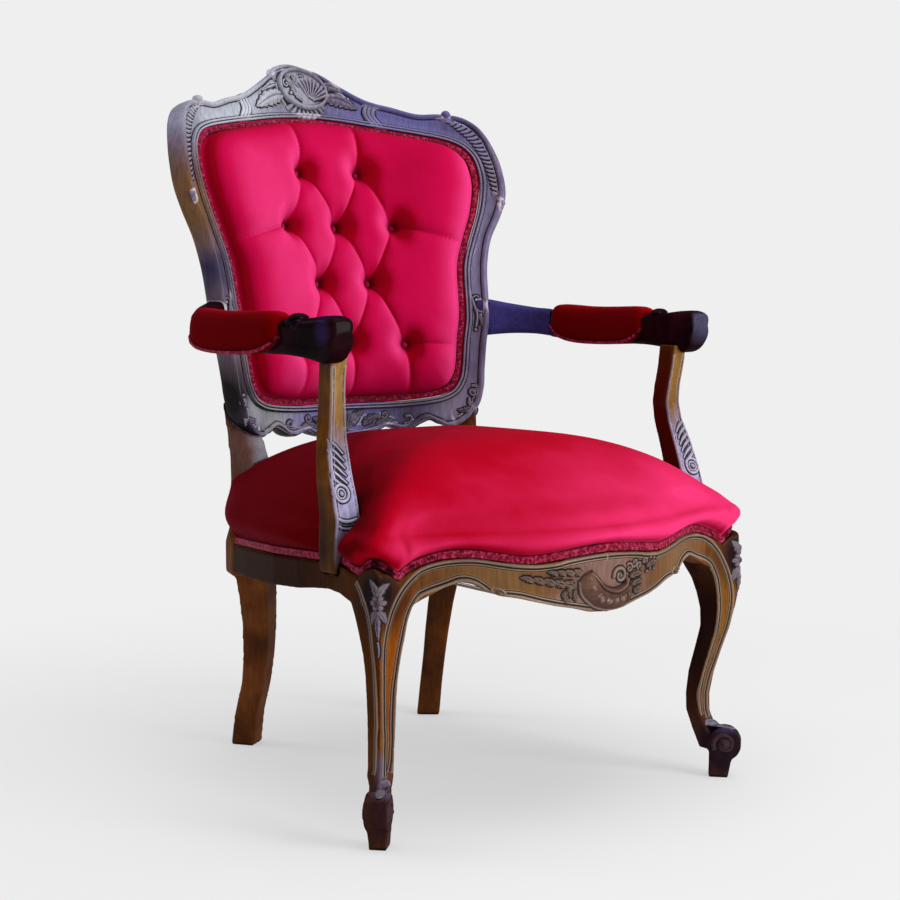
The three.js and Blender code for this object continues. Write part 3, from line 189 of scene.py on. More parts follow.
class Nodes:
    """A node tree built up step by step."""

    def __init__(self, tree):
        self.tree = tree

    def put(self, socket, value):
        """Feeds a socket from another socket, or sets its value."""
        if isinstance(value, bpy.types.NodeSocket):
            self.tree.links.new(value, socket)
        else:
            socket.default_value = value

    def add(self, kind, inputs=None, **settings):
        node = self.tree.nodes.new(kind)
        for key, value in settings.items():
            setattr(node, key, value)
        for key, value in (inputs or {}).items():
            self.put(node.inputs[key], value)
        return node

    def maths(self, a, b, how="ADD"):
        return self.add("ShaderNodeMath", {0: a, 1: b}, operation=how).outputs[0]

    def vectors(self, a, b, how):
        return self.add("ShaderNodeVectorMath", {0: a, 1: b}, operation=how).outputs["Value"]


class Finish(Nodes):
    """A material, coloured and roughened by its nodes."""

    def __init__(self, name):
        self.material = bpy.data.materials.new(name)
        self.material.use_nodes = True
        super().__init__(self.material.node_tree)
        self.shader = self.tree.nodes["Principled BSDF"]
        self.place = self.add("ShaderNodeTexCoord").outputs["Object"]

    def stretched(self, scale):
        return self.add("ShaderNodeMapping", {"Vector": self.place, "Scale": scale}).outputs[0]

    def noise(self, vector, scale, detail=3, roughness=0.55):
        inputs = {"Vector": vector, "Scale": scale, "Detail": detail, "Roughness": roughness}
        return self.add("ShaderNodeTexNoise", inputs).outputs["Fac"]

    def occlusion(self, distance, samples=8, inside=False):
        inputs = {"Distance": distance}
        return self.add("ShaderNodeAmbientOcclusion", inputs, samples=samples, inside=inside).outputs["AO"]

    def ranged(self, value, low, high):
        """0 at the low value and 1 at the high one."""
        return self.add("ShaderNodeMapRange", {"Value": value, "From Min": low, "From Max": high}).outputs[0]

    def waves(self, scale, distortion, direction):
        inputs = {"Vector": self.place, "Scale": scale, "Distortion": distortion}
        return self.add("ShaderNodeTexWave", inputs, bands_direction=direction).outputs["Fac"]

    def ramp(self, fac, stops):
        node = self.add("ShaderNodeValToRGB", {"Fac": fac})
        ramp = node.color_ramp
        while len(ramp.elements) < len(stops):
            ramp.elements.new(0.5)
        for element, (at, colour) in zip(ramp.elements, stops):
            element.position = at
            element.color = linear(colour) if isinstance(colour, str) else (colour, colour, colour, 1)
        return node.outputs["Color"]

    def mixed(self, fac, a, b, how="MIX"):
        node = self.add("ShaderNodeMix", data_type="RGBA", blend_type=how)
        for index, value in ((0, fac), (6, a), (7, b)):
            self.put(node.inputs[index], value)
        return node.outputs[2]

    def bump(self, height, depth, strength=1.0, below=None):
        inputs = {"Height": height, "Distance": depth, "Strength": strength}
        if below is not None:
            inputs["Normal"] = below
        return self.add("ShaderNodeBump", inputs).outputs[0]

    def set(self, **inputs):
        for key, value in inputs.items():
            self.put(self.shader.inputs[key.replace("_", " ").title().replace("Ior", "IOR")], value)


def lacquered(name, pale, middle, deep, edge, grain, painted_light_spots=(), wear_and_highlight=0.7, gloss=0.22):
    """Walnut under glossy lacquer: glaze with painted shade in the hollows, edges lightened as rubbed
    wear and painted highlights, and painted reflections, highlights and shade round the given places,
    or only where the wood there faces the given way."""
    wood = Finish(name)
    along = [75, 75, 75]
    along[grain] = 7
    fibres = wood.noise(wood.stretched(along), 3.0, 5, 0.6)
    clouds = wood.noise(wood.place, 11.0, 3)
    colour = wood.ramp(clouds, [(0.3, deep), (0.5, middle), (0.72, pale)])
    facing = wood.add("ShaderNodeNewGeometry").outputs["Normal"]
    # Painted light: each spot blends a colour in round its place, as a reflection, highlight or shade, only
    # on faces turned the given way if one is given.
    for centre, reach, tint, *turned in painted_light_spots:
        near = wood.ranged(wood.vectors(wood.place, centre, "DISTANCE"), reach, 0.3 * reach)
        near = wood.maths(near, wood.maths(clouds, 0.55), "MULTIPLY")
        for way in turned:
            square = wood.ranged(wood.vectors(facing, way, "DOT_PRODUCT"), 0.3, 0.75)
            near = wood.maths(near, square, "MULTIPLY")
        colour = wood.mixed(near, colour, linear(tint))
    colour = wood.mixed(0.45, colour, wood.ramp(fibres, [(0.34, 0.35), (0.6, 1.0)]), "MULTIPLY")
    hollow_width, rubbed_and_lit_width = 0.007, 0.0032
    # Painted shade, with the glaze: the colour darkens towards near black in the hollows.
    glaze_and_shade = wood.ramp(wood.occlusion(hollow_width), [(0.30, 0.015), (0.58, 0.32), (0.86, 1.0)])
    colour = wood.mixed(1.0, colour, glaze_and_shade, "MULTIPLY")
    # Rubbed wear and painted highlights: convex edges are lightened towards the edge colour.
    worn_and_lit = wood.ramp(wood.occlusion(rubbed_and_lit_width, inside=True), [(0.42, wear_and_highlight), (0.74, 0.0)])
    colour = wood.mixed(worn_and_lit, colour, linear(edge))
    bumps = wood.bump(fibres, 0.0003, 0.45)
    wood.set(base_color=colour, roughness=0.34, normal=bumps, specular_ior_level=0.0, coat_weight=gloss,
             coat_roughness=0.08)
    return wood.material


stile_back = frame_line + 0.16
knee_front = frame_line - 0.36
crest_back = frame_line + 0.27
# Painted light: the violet-grey tone and the silver, violet and pale spots stand for reflections on the
# lacquer; the near-black spots and the darkened underside of the band are painted shade.
back_walnut = lacquered("walnut_back", "8a8098", "665c7c", "40364e", "d8d0dc", 2, [
    ((-0.16, crest_back, 0.975), 0.18, "b4b8c4"), ((0.15, crest_back, 0.965), 0.16, "646096"),
    ((-0.295, stile_back, 0.80), 0.115, "7a5634"), ((-0.245, stile_back, 0.70), 0.045, "1c1c48"),
    ((-0.230, stile_back, 0.60), 0.13, "6c5c66"), ((-0.236, stile_back - 0.02, 0.525), 0.07, "140c10"),
    ((-0.12, frame_line + 0.2, 0.48), 0.10, "a4a8a6"),
    ((0.25, stile_back, 0.72), 0.12, "7c7696"), ((-0.02, frame_line + 0.2, 0.47), 0.13, "8078b8"),
    ((0.19, stile_back, 0.50), 0.07, "8f86a0"), ((-0.19, stile_back, 0.505), 0.035, "a8aeb2"),
    ((-0.12, frame_line + 0.2, 0.45), 0.35, "0e080a", (0, 0, -1)),
])
# Painted light: the spots round these places are silver, violet, lilac and gold reflections and highlights,
# with darker tones at the knees and feet.
carved_walnut = lacquered("walnut_carving", "8c8298", "6c6078", "4a3e54", "e8e0ee", 2, [
    ((-0.14, crest_back, 0.975), 0.19, "c4cad4"), ((0.2, crest_back, 0.92), 0.14, "6a66a8"),
    ((-0.296, knee_front, 0.30), 0.06, "4c343a"), ((0.296, knee_front, 0.30), 0.06, "4c3844"),
    ((-0.285, knee_front + 0.06, 0.57), 0.08, "c0a070"), ((0.285, knee_front + 0.06, 0.57), 0.08, "b08850"),
    ((-0.285, knee_front + 0.06, 0.44), 0.09, "b4acc8"), ((0.285, knee_front + 0.06, 0.44), 0.09, "b4acc8"),
    ((-0.286, knee_front, 0.05), 0.05, "40303c"), ((0.286, knee_front, 0.05), 0.05, "343050"),
], wear_and_highlight=0.12)


def plain(name, stretch, scale, detail, dark, pale, depth, strength, **inputs):
    """A finish of two colours with a fine relief, both from one noise."""
    finish = Finish(name)
    grain = finish.noise(finish.stretched(stretch) if stretch else finish.place, scale, detail)
    finish.set(base_color=finish.ramp(grain, [dark, pale]), normal=finish.bump(grain, depth, strength),
               **inputs)
    return finish.material


# Near-black glaze for thin pieces in the quirks and round the carving, standing for glaze and for painted
# shadow.
quirk_glaze_and_shadow = plain("walnut_quirk_glaze", None, 60.0, 2, (0.35, "070406"), (0.7, "1a0e12"), 0.0002, 0.3,
                    roughness=0.55, specular_ior_level=0.2)


face_profile = [  # distance from the sight edge, height in front of the face
    (0.0, -0.0030), (0.0004, -0.0004), (0.0013, 0.0014), (0.0026, 0.0018), (0.0036, 0.0008),
    (0.0041, -0.0018), (0.0046, -0.0020), (0.0051, 0.0002), (0.0063, 0.0014), (0.0078, 0.0008),
    (0.0086, -0.0016), (0.0094, -0.0036), (0.0102, -0.0040),
]
roll_profile = [  # distance from the outer edge, height in front of the face
    (0.0092, -0.0036), (0.0084, -0.0044), (0.0078, -0.0042), (0.0070, -0.0014), (0.0054, 0.0008),
    (0.0034, 0.0012), (0.0014, 0.0002), (0.0002, -0.0024),
]


def moulded_ring(inner, outer):
    """The band's section between a point of the opening and a point of the outline."""
    width = math.dist(inner, outer)
    rows = []
    for out, height in face_profile:
        rows.append((out / width, height))
    for share in (0.36, 0.5, 0.64):
        rows.append((share, -0.0032 - 0.0016 * math.sin(math.pi * (share - 0.2) / 0.6)))
    for back_from_edge, height in roll_profile:
        rows.append((1 - back_from_edge / width, height))
    for out, height in ((0.0008, -0.007), (0.0008, -0.020), (-0.0006, -0.027), (-0.004, -band_depth)):
        rows.append((1 + out / width, height))
    rows += [(0.5, -0.0305), (0.004 / width, -band_depth), (0.0, -0.027), (0.0, -0.012)]
    share, height = np.array(rows).T
    x = inner[0] + (outer[0] - inner[0]) * share
    z = inner[1] + (outer[1] - inner[1]) * share
    return on_back(x, z, height)


stations = 360
# Both edges are walked together, so that a ring always spans the band squarely.
pairs = flowing(np.hstack([whole_loop(opening_edge), whole_loop(outer_edge)]), stations, closed=True)
rings = np.array([moulded_ring(p[:2], p[2:]) for p in pairs])
back_band = piece("back_band", rings, skin_faces(*rings.shape[:2], looped=True), back_walnut)
fasten(back_band, "walnut", "crest_rail", "back_lower_rail")


def quirk_line(name, distance, height, width, outer=False):
    """A dark strip of glaze and painted shadow in a quirk of the moulding, so far from one edge of the band.
    """
    spans = unit(pairs[:, 2:] - pairs[:, :2])
    start, inwards = (pairs[:, 2:], -1) if outer else (pairs[:, :2], 1)
    rows = [start + spans * inwards * d for d in (distance, distance + width / 2, distance + width)]
    lift = (height, height + 0.0003, height)
    points = np.dstack([on_back(r[:, 0], r[:, 1], h) for r, h in zip(rows, lift)]).transpose(0, 2, 1)
    fasten(piece(name, points, skin_faces(stations, 3, looped=True, closed=False), quirk_glaze_and_shadow), "walnut")


quirk_line("quirk_sight", 0.0038, -0.0017, 0.0011)
quirk_line("quirk_bead", 0.0088, -0.0028, 0.0013)
quirk_line("quirk_roll", 0.0076, -0.0035, 0.0014, outer=True)


# The carving on the back: a shell cartouche with leaves on the crest, ribbons across the band,
# rows of flutes round the shoulders, sprigs on the stiles and scallops along the lower rail.
class Carving:
    """Relief laid on a bed, which turns (across, up, height) into places on the wood. Dark glaze and
    painted shadow are laid on the ground round each form."""

    def __init__(self, bed, side=1, outlined=True):
        self.bed, self.side, self.outlined = bed, side, outlined
        self.points, self.faces, self.ground, self.patches = [], [], [], []

    def skin(self, across, up, height):
        across, up, height = np.broadcast_arrays(across, up, height)
        self.faces += skin_faces(*across.shape, closed=False, start=len(self.points))
        self.points += list(self.bed(across * self.side, up, height).reshape(-1, 3))

    # Glaze and painted shadow: a dark patch on the ground round the form.
    def glaze_and_shade(self, line, side, reach):
        if self.outlined:
            lay = np.linspace(-1, 1, 5)
            across = (line[:, :1] + side[:, :1] * lay * reach) * self.side
            up = line[:, 1:2] + side[:, 1:] * lay * reach
            self.patches += skin_faces(*across.shape, closed=False, start=len(self.ground))
            self.ground += list(self.bed(across, up, np.full(across.shape, 0.0004)).reshape(-1, 3))

    def rod(self, path, radii, rise=1.0, closed=False):
        """A half-round roll along a path; its radius runs through the given ones."""
        path = np.asarray(path, float)
        radii = np.atleast_1d(radii)
        radii = np.interp(np.linspace(0, 1, len(path)), np.linspace(0, 1, len(radii)), radii)
        line = flowing(np.column_stack([path, radii]), 4 * len(path) + 5, closed)
        if closed:
            line = np.vstack([line, line[:1]])
        side = unit_side(line[:, :2])
        lay = np.linspace(-1, 1, 9)
        radius = line[:, 2:]
        self.glaze_and_shade(line, side, radius + 0.0014)
        end = np.ones(len(line))
        if not closed:
            along = distances(line[:, :2])
            end = np.clip(np.minimum(along, along[-1] - along) / radius[:, 0], 0, 1)
            end = np.sqrt(1 - (1 - end) ** 2)
        height = radius * rise * np.sqrt(1 - lay**2) * end[:, None] - 0.0005
        self.skin(line[:, :1] + side[:, :1] * lay * radius, line[:, 1:2] + side[:, 1:] * lay * radius, height)

    def leaf(self, spine, width, height, lobes=5):
        """A serrated leaf with a sunk midrib and side veins."""
        rows = 9 * lobes + 3
        line = flowing(spine, rows)
        side = unit_side(line)
        t = np.linspace(0, 1, rows)[:, None]
        lay = np.linspace(-1, 1, 15)[None]
        outline = width * (np.sin(np.pi * t**0.72) ** 0.75 + 0.02) * (1.08 - 0.34 * ((lobes * t) % 1))
        self.glaze_and_shade(line, side, outline + 0.0015)
        dome = (1 - np.abs(lay) ** 2.6) * (0.45 + 0.55 * np.sin(np.pi * np.clip(t + 0.08, 0, 1)))
        veins = 0.30 * np.cos(2 * np.pi * (lobes * t - 0.9 * np.abs(lay))) * np.abs(lay) * (1 - lay**2)
        midrib = 1 - 0.55 * np.exp(-((lay / 0.13) ** 2))
        level = height * (dome * midrib + veins) - 0.0006 * np.abs(lay) ** 6
        self.skin(line[:, :1] + side[:, :1] * lay * outline, line[:, 1:2] + side[:, 1:] * lay * outline,
                  level - 0.0002)

    def knob(self, across, up, radius, rise=1.0):
        tilt = np.linspace(0, np.pi / 2, 6)[:, None]
        turn = np.linspace(0, 2 * np.pi, 15)[None]
        spine = np.array([[across, up + share * radius] for share in (-1.0, -0.5, 0.5, 1.0)])
        reach = np.array([[0.5], [1.0], [1.0], [0.5]]) * radius + 0.0012
        self.glaze_and_shade(spine, np.tile((1.0, 0.0), (4, 1)), reach)
        out = radius * np.sin(tilt)
        self.skin(across + out * np.cos(turn), up + out * np.sin(turn), radius * rise * np.cos(tilt) - 0.0004)

    def ring(self, across, up, wide, high, tilt, radius, rise=1.0):
        turn = np.linspace(0, 2 * np.pi, 20, endpoint=False)
        x, z = wide * np.cos(turn), high * np.sin(turn)
        turned_x = across + x * math.cos(tilt) - z * math.sin(tilt)
        turned_z = up + x * math.sin(tilt) + z * math.cos(tilt)
        self.rod(np.column_stack([turned_x, turned_z]), radius, rise, closed=True)

    def scroll(self, across, up, size, start, turns, radius, way=1):
        """A roll that winds in to a round eye."""
        t = np.linspace(0, 1, 16)
        angle = start + way * turns * 2 * np.pi * t
        reach = size * (1 - 0.72 * t)
        path = np.column_stack([across + reach * np.cos(angle), up + reach * np.sin(angle)])
        self.rod(path, [radius, 0.65 * radius])
        self.knob(across, up, 0.30 * size, 1.2)

    def flutes(self, path, count, lengths, lit_facing, radius):
        """A row of short curved flutes standing off a line."""
        line = flowing(path, count)
        side = unit_side(line)
        ahead = side[:, ::-1] * (1, -1)
        lengths = np.interp(np.linspace(0, 1, count), np.linspace(0, 1, len(lengths)), lengths)
        for i, length in enumerate(lengths):
            middle = line[i] + side[i] * length * 0.55 + ahead[i] * length * lit_facing * 0.25
            end = line[i] + side[i] * length + ahead[i] * length * lit_facing
            self.rod([line[i], middle, end], [radius, radius, 0.55 * radius], 1.1)

    def shell(self, across, up, inner, outer, first, last, ribs, height):
        """A fan of rounded ribs with a scalloped edge."""
        angle = np.linspace(first, last, 8 * ribs + 1)[None]
        share = np.linspace(0, 1, 12)[:, None]
        rounded = np.abs(np.sin(np.pi * ribs * (angle - first) / (last - first))) ** 0.6
        reach = inner + (outer * (0.88 + 0.12 * rounded) - inner) * share
        level = height * (0.15 + 0.85 * rounded) * np.sin(np.pi * (0.12 + 0.80 * share)) * (0.5 + 0.5 * share)
        self.skin(across + reach * np.cos(angle), up + reach * np.sin(angle), level - 0.0004)

    def done(self, name, material):
        # The dark patches round the forms, glaze and painted shadow, make a piece of their own.
        if self.ground:
            fasten(piece(name + "_glaze", self.ground, self.patches, quirk_glaze_and_shadow), "walnut")
        return fasten(piece(name, self.points, self.faces, material), "walnut")


band_ground = -0.0042  # the ground between the mouldings, against the back's face
boss_ground = 0.0030


def on_band(across, up, height):
    return on_back(across, up, height + band_ground)


crest = Carving(on_band)
crest.shell(0.004, 0.984, 0.018, 0.041, math.radians(208), math.radians(338), 9, 0.0085)
crest.leaf([(-0.030, 0.984), (-0.057, 0.978), (-0.088, 0.961)], 0.0135, 0.008, 6)
crest.leaf([(0.040, 0.982), (0.066, 0.979), (0.093, 0.966)], 0.0115, 0.008, 6)
crest.leaf([(0.038, 1.001), (0.055, 1.000), (0.074, 0.992)], 0.0075, 0.007, 3)
crest.leaf([(-0.040, 1.000), (-0.055, 0.996), (-0.072, 0.987)], 0.0065, 0.006, 3)
turn = np.linspace(0, 2 * np.pi, 33)[None]
share = np.linspace(0.001, 1, 6)[:, None]
crest.skin(0.004 + 0.040 * share * np.cos(turn), 0.993 + 0.029 * share * np.sin(turn),
           0.0085 - 0.0030 * share**2)
crest.ring(0.004, 0.993, 0.0405, 0.0295, math.radians(-12), 0.0042, 2.6)


def on_boss(across, up, height):
    return on_back(across, up, height + boss_ground)


boss = Carving(on_boss)
boss.shell(0.012, 0.972, 0.006, 0.038, math.radians(12), math.radians(122), 9, 0.0075)
boss.rod([(-0.006, 1.001), (0.004, 0.996), (0.008, 0.984), (0.020, 0.976), (0.034, 0.978)],
         [0.0022, 0.0016], 1.3)
boss.leaf([(-0.026, 1.010), (-0.016, 0.998), (-0.012, 0.984), (-0.002, 0.971)], 0.0062, 0.005, 4)
boss.leaf([(-0.012, 1.012), (-0.008, 1.000), (-0.002, 0.990)], 0.0045, 0.004, 3)
boss.scroll(-0.025, 0.999, 0.0075, 0.4, 1.1, 0.0018)
boss.scroll(0.004, 1.007, 0.006, 2.0, 1.0, 0.0016, -1)
boss.knob(-0.020, 0.984, 0.0028)
boss.done("crest_boss", carved_walnut)
crest.outlined = False
crest.scroll(-0.042, 1.014, 0.0085, 3.4, 1.1, 0.0030, -1)
crest.rod([(-0.050, 1.012), (-0.036, 1.0235), (-0.012, 1.0275), (0.012, 1.0245), (0.030, 1.018)],
          [0.0035, 0.0046, 0.003], 1.6)
crest.rod([(-0.041, 1.003), (-0.040, 0.985), (-0.030, 0.966)], [0.003, 0.0022], 1.6)
crest.outlined = True
for way in (-1, 1):  # three-fold ribbons laid across the band
    for fold in range(3):
        shift = way * 0.0062 * fold
        top, bottom = (way * 0.108 + shift, 0.975 - 0.0015 * fold), (way * 0.114 + shift, 0.939)
        middle = (way * 0.103 + shift, 0.956)
        crest.rod([top, middle, bottom], [0.0026, 0.0036, 0.0026], 1.0)
    crest.rod([(way * 0.106, 0.977), (way * 0.118, 0.974), (way * 0.128, 0.970)], 0.0024)
    crest.rod([(way * 0.112, 0.938), (way * 0.124, 0.936), (way * 0.134, 0.935)], 0.0022)
crest.done("crest_carving", carved_walnut)

both_sides = (("left", 1), ("right", -1))
for name, way in both_sides:
    work = Carving(on_band, way)
    shoulder = [(0.227, 0.954), (0.242, 0.944), (0.256, 0.926), (0.2650, 0.905), (0.2700, 0.880),
                (0.2710, 0.853), (0.269, 0.832)]
    work.flutes(shoulder, 20, [-0.010, -0.014, -0.0145, -0.014, -0.013, -0.011, -0.008], 0.35, 0.0026)
    work.outlined = False
    work.knob(0.2215, 0.9585, 0.0066, 1.9)
    work.rod([(0.205, 0.953), (0.214, 0.9535), (0.222, 0.949), (0.229, 0.9465)], [0.0015, 0.0032, 0.0022])
    work.leaf([(0.2665, 0.829), (0.2705, 0.818), (0.266, 0.805)], 0.0055, 0.006, 3)
    work.scroll(0.2645, 0.834, 0.0055, 1.2, 1.0, 0.0019, -1)
    work.outlined = True
    work.rod([(0.206, 0.694), (0.211, 0.676), (0.2155, 0.656), (0.218, 0.640), (0.214, 0.621)],
             [0.0012, 0.0024, 0.0016], 1.4)
    work.rod([(0.2165, 0.652), (0.224, 0.646), (0.231, 0.650)], [0.0018, 0.0016], 1.4)
    work.rod([(0.213, 0.668), (0.220, 0.672), (0.224, 0.668)], [0.0016, 0.0012], 1.4)
    work.rod([(0.215, 0.658), (0.208, 0.652), (0.2055, 0.644)], [0.0016, 0.0012], 1.4)
    work.knob(0.2325, 0.6505, 0.0030, 1.3)
    work.knob(0.2135, 0.6185, 0.0026, 1.3)
    work.leaf([(0.219, 0.640), (0.223, 0.634), (0.222, 0.624)], 0.0035, 0.004, 3)
    work.scroll(0.203, 0.522, 0.0095, 1.9, 1.2, 0.0026, -1)
    work.rod([(0.197, 0.513), (0.196, 0.502), (0.204, 0.495), (0.202, 0.486)], [0.0022, 0.0028, 0.0018], 1.3)
    work.leaf([(0.198, 0.497), (0.188, 0.492), (0.178, 0.494)], 0.0055, 0.0055, 3)
    work.flutes([(0.196, 0.506), (0.190, 0.496), (0.181, 0.488)], 5, [0.008, 0.009, 0.006], 0.3, 0.0015)
    scallops = [(0.161, 0.4745), (0.150, 0.4755), (0.138, 0.4815), (0.124, 0.4765), (0.108, 0.4690),
                (0.090, 0.4705), (0.076, 0.4775), (0.060, 0.4700), (0.036, 0.4655), (0.004, 0.4645)]
    work.rod(scallops, 0.0022, 1.1)
    work.rod([(0.100, 0.483), (0.106, 0.4865), (0.111, 0.482), (0.108, 0.4765), (0.100, 0.4745)],
             [0.0032, 0.0022, 0.0012], 1.3)
    work.leaf([(0.012, 0.474), (0.020, 0.488), (0.034, 0.497)], 0.0075, 0.006, 4)
    work.leaf([(0.030, 0.474), (0.044, 0.483), (0.060, 0.489)], 0.0070, 0.006, 4)
    work.leaf([(0.052, 0.474), (0.070, 0.4785), (0.090, 0.472)], 0.0060, 0.0055, 5)
    work.scroll(0.068, 0.489, 0.0060, 3.6, 1.1, 0.0019)
    work.done(f"back_carving_{name}", carved_walnut)
middle = Carving(on_band)
middle.shell(0.0, 0.468, 0.004, 0.030, math.radians(28), math.radians(152), 7, 0.006)
middle.knob(0.0, 0.470, 0.005, 1.4)
middle.done("lower_rail_shell", carved_walnut)


# The legs, rails, posts and arm supports: solid walnut, worked to shape and rubbed down, so every
# arris is softened. The posts run up behind the band and carry it.
def worked(name, nodes, fineness, passes, material, top=None):
    """The nodes' solids rubbed down to one softened body, cut off above the given height."""
    body = bmesh.new()
    for node in nodes:
        body.from_mesh(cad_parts[node].data)
    if top:
        bmesh.ops.remove_doubles(body, verts=body.verts, dist=1e-6)
        cut = bmesh.ops.bisect_plane(body, geom=body.verts[:] + body.edges[:] + body.faces[:],
                                     plane_co=(0, 0, top), plane_no=(0, 0, 1), clear_outer=True)
        open_edges = [e for e in cut["geom_cut"] if isinstance(e, bmesh.types.BMEdge)]
        bmesh.ops.holes_fill(body, edges=open_edges)
    mesh = bpy.data.meshes.new(name)
    body.to_mesh(mesh)
    body.free()
    made = placed(name, mesh)
    remesh = made.modifiers.new("remesh", "REMESH")
    remesh.mode = "VOXEL"
    remesh.voxel_size = fineness
    rub = made.modifiers.new("rub", "SMOOTH")
    rub.factor = 0.5
    rub.iterations = passes
    bpy.context.view_layer.update()
    done = bpy.data.meshes.new_from_object(made.evaluated_get(bpy.context.evaluated_depsgraph_get()))
    made.modifiers.clear()
    made.data = done
    done.name = name
    done.materials.clear()
    done.materials.append(material)
    done.polygons.foreach_set("use_smooth", [True] * len(done.polygons))
    return fasten(made, "walnut", *nodes)


front_rail = frame_line - 0.43
support_line = frame_line - 0.29
to_front, to_side = (0, -1, 0), (-1, 0, 0)
# Painted light and shade: faces turned to the side and the far rails are darkened, the fronts of the rail and
# knees lightened, the ankles take pale violet highlights, and the knees' tops and the toes are darker.
leg_walnut = lacquered("walnut_legs", "946028", "663816", "34180a", "d0a078", 2, [
    ((-0.29, frame_line - 0.05, 0.31), 0.42, "2c1408", to_side),
    ((0.0, frame_line + 0.19, 0.29), 0.26, "26120a"), ((0.29, frame_line - 0.12, 0.31), 0.21, "2a140c"),
    ((-0.16, front_rail, 0.345), 0.12, "7c5a38", to_front),
    ((0.17, front_rail, 0.335), 0.12, "7a5a3c", to_front),
    ((0.0, front_rail, 0.31), 0.10, "86665c", to_front),
    ((-0.275, knee_front, 0.22), 0.11, "8a480e", to_front),
    ((0.275, knee_front, 0.22), 0.12, "7c501c", to_front),
    ((-0.300, knee_front, 0.20), 0.16, "4c2606", to_side),
    ((0.255, knee_front, 0.20), 0.17, "280c06", to_side),
    ((-0.300, knee_front, 0.315), 0.055, "1c1216"), ((0.300, knee_front, 0.315), 0.055, "241418"),
    ((-0.286, knee_front, 0.045), 0.070, "341a1c"), ((0.286, knee_front, 0.045), 0.085, "281620"),
    ((-0.285, knee_front, 0.098), 0.036, "7c7898"), ((0.285, knee_front, 0.092), 0.032, "504a6c"),
], wear_and_highlight=0.25, gloss=0.06)
# Painted highlights: the beads' pale tone stands for the light along them; browner on the legs, with a pale
# lilac highlight at the near ankle.
edge_walnut = lacquered("walnut_edges", "94806e", "6c5442", "382218", "c4b4a4", 2, [
    ((-0.27, knee_front, 0.18), 0.16, "6a3e1c"), ((0.27, knee_front, 0.18), 0.16, "74502c"),
    ((-0.285, knee_front, 0.095), 0.035, "8c86a4"),
], wear_and_highlight=0.25)
# A darker walnut, so the toe volutes match the darkened toes round them.
toe_walnut = lacquered("walnut_toes", "4c3034", "38222a", "1c1018", "6c5864", 2, wear_and_highlight=0.15, gloss=0.06)
# Painted light: the near-black spot where the post meets the stile is painted shade, and the pale blue-grey
# on the posts' fronts is a painted highlight.
post_walnut = lacquered("walnut_posts", "844a1c", "5e300e", "2c1208", "b07a48", 2, [
    ((-0.23, stile_back, 0.50), 0.065, "100a0c"), ((-0.2, frame_line + 0.14, 0.45), 0.07, "6a4840"),
    ((-0.172, frame_line + 0.12, 0.425), 0.034, "9a9ca8", to_front),
    ((-0.172, frame_line + 0.12, 0.47), 0.034, "9a9ca8", to_front),
], wear_and_highlight=0.12, gloss=0.12)
# Painted light: the gold and lilac on the supports' fronts are painted highlights, and the far support's
# inner side is painted shade.
support_walnut = lacquered("walnut_supports", "7e480e", "5a320a", "2c1404", "c8b0a0", 2, [
    ((-0.285, support_line, 0.57), 0.11, "a07a46", to_front),
    ((0.285, support_line, 0.56), 0.10, "8c6830", to_front),
    ((-0.285, frame_line - 0.30, 0.435), 0.10, "a8a2c8", to_front),
    ((0.285, frame_line - 0.30, 0.435), 0.10, "a8a2c8", to_front),
    ((0.27, frame_line - 0.27, 0.50), 0.17, "4a1408", to_side),
], wear_and_highlight=0.12, gloss=0.12)

tongue_foot, tongue_front_cut, tongue_rear_cut = 0.435, 0.024, 0.011
for side in ("left", "right"):
    post = worked(f"post_{side}", [f"rear_post_{side}"], 0.0025, 12, post_walnut, top=0.52)
    depths = {}
    for vertex in post.data.vertices:
        depths.setdefault(round(vertex.co.z, 2), []).append(vertex.co.y)
    levels = sorted(depths)
    fronts, rears = [min(depths[level]) for level in levels], [max(depths[level]) for level in levels]
    for vertex in post.data.vertices:  # thinned to a tongue, to be housed behind the band's lower corner
        front_y, rear_y = np.interp(vertex.co.z, levels, fronts), np.interp(vertex.co.z, levels, rears)
        share = (vertex.co.y - front_y) / (rear_y - front_y)
        thinned = min(max((vertex.co.z - tongue_foot) / 0.05, 0), 1)
        vertex.co.y += thinned * (tongue_front_cut * (1 - share) - tongue_rear_cut * share)
    worked(f"support_{side}", [f"arm_support_{side}"], 0.002, 8, support_walnut, top=0.604)
rails_and_legs = ["front_seat_rail", "side_seat_rail_left", "side_seat_rail_right", "rear_seat_rail",
                  "front_leg_left", "front_leg_right"]
seat_frame = worked("seat_frame", rails_and_legs, 0.002, 8, leg_walnut)
ankle_height, toe_squeeze = 0.082, 0.18
for vertex in seat_frame.data.vertices:  # the toes are cut in narrower than the knees
    low = min(max((ankle_height - vertex.co.z) / 0.012, 0), 1)
    if low and vertex.co.y < frame_line - 0.25:
        way = math.copysign(1, vertex.co.x)
        axis = Vector((1, way, 0)).normalized()
        toe_middle = Vector((way * 0.285, frame_line - 0.346, 0))
        vertex.co -= axis * axis.dot(vertex.co - toe_middle) * toe_squeeze * low


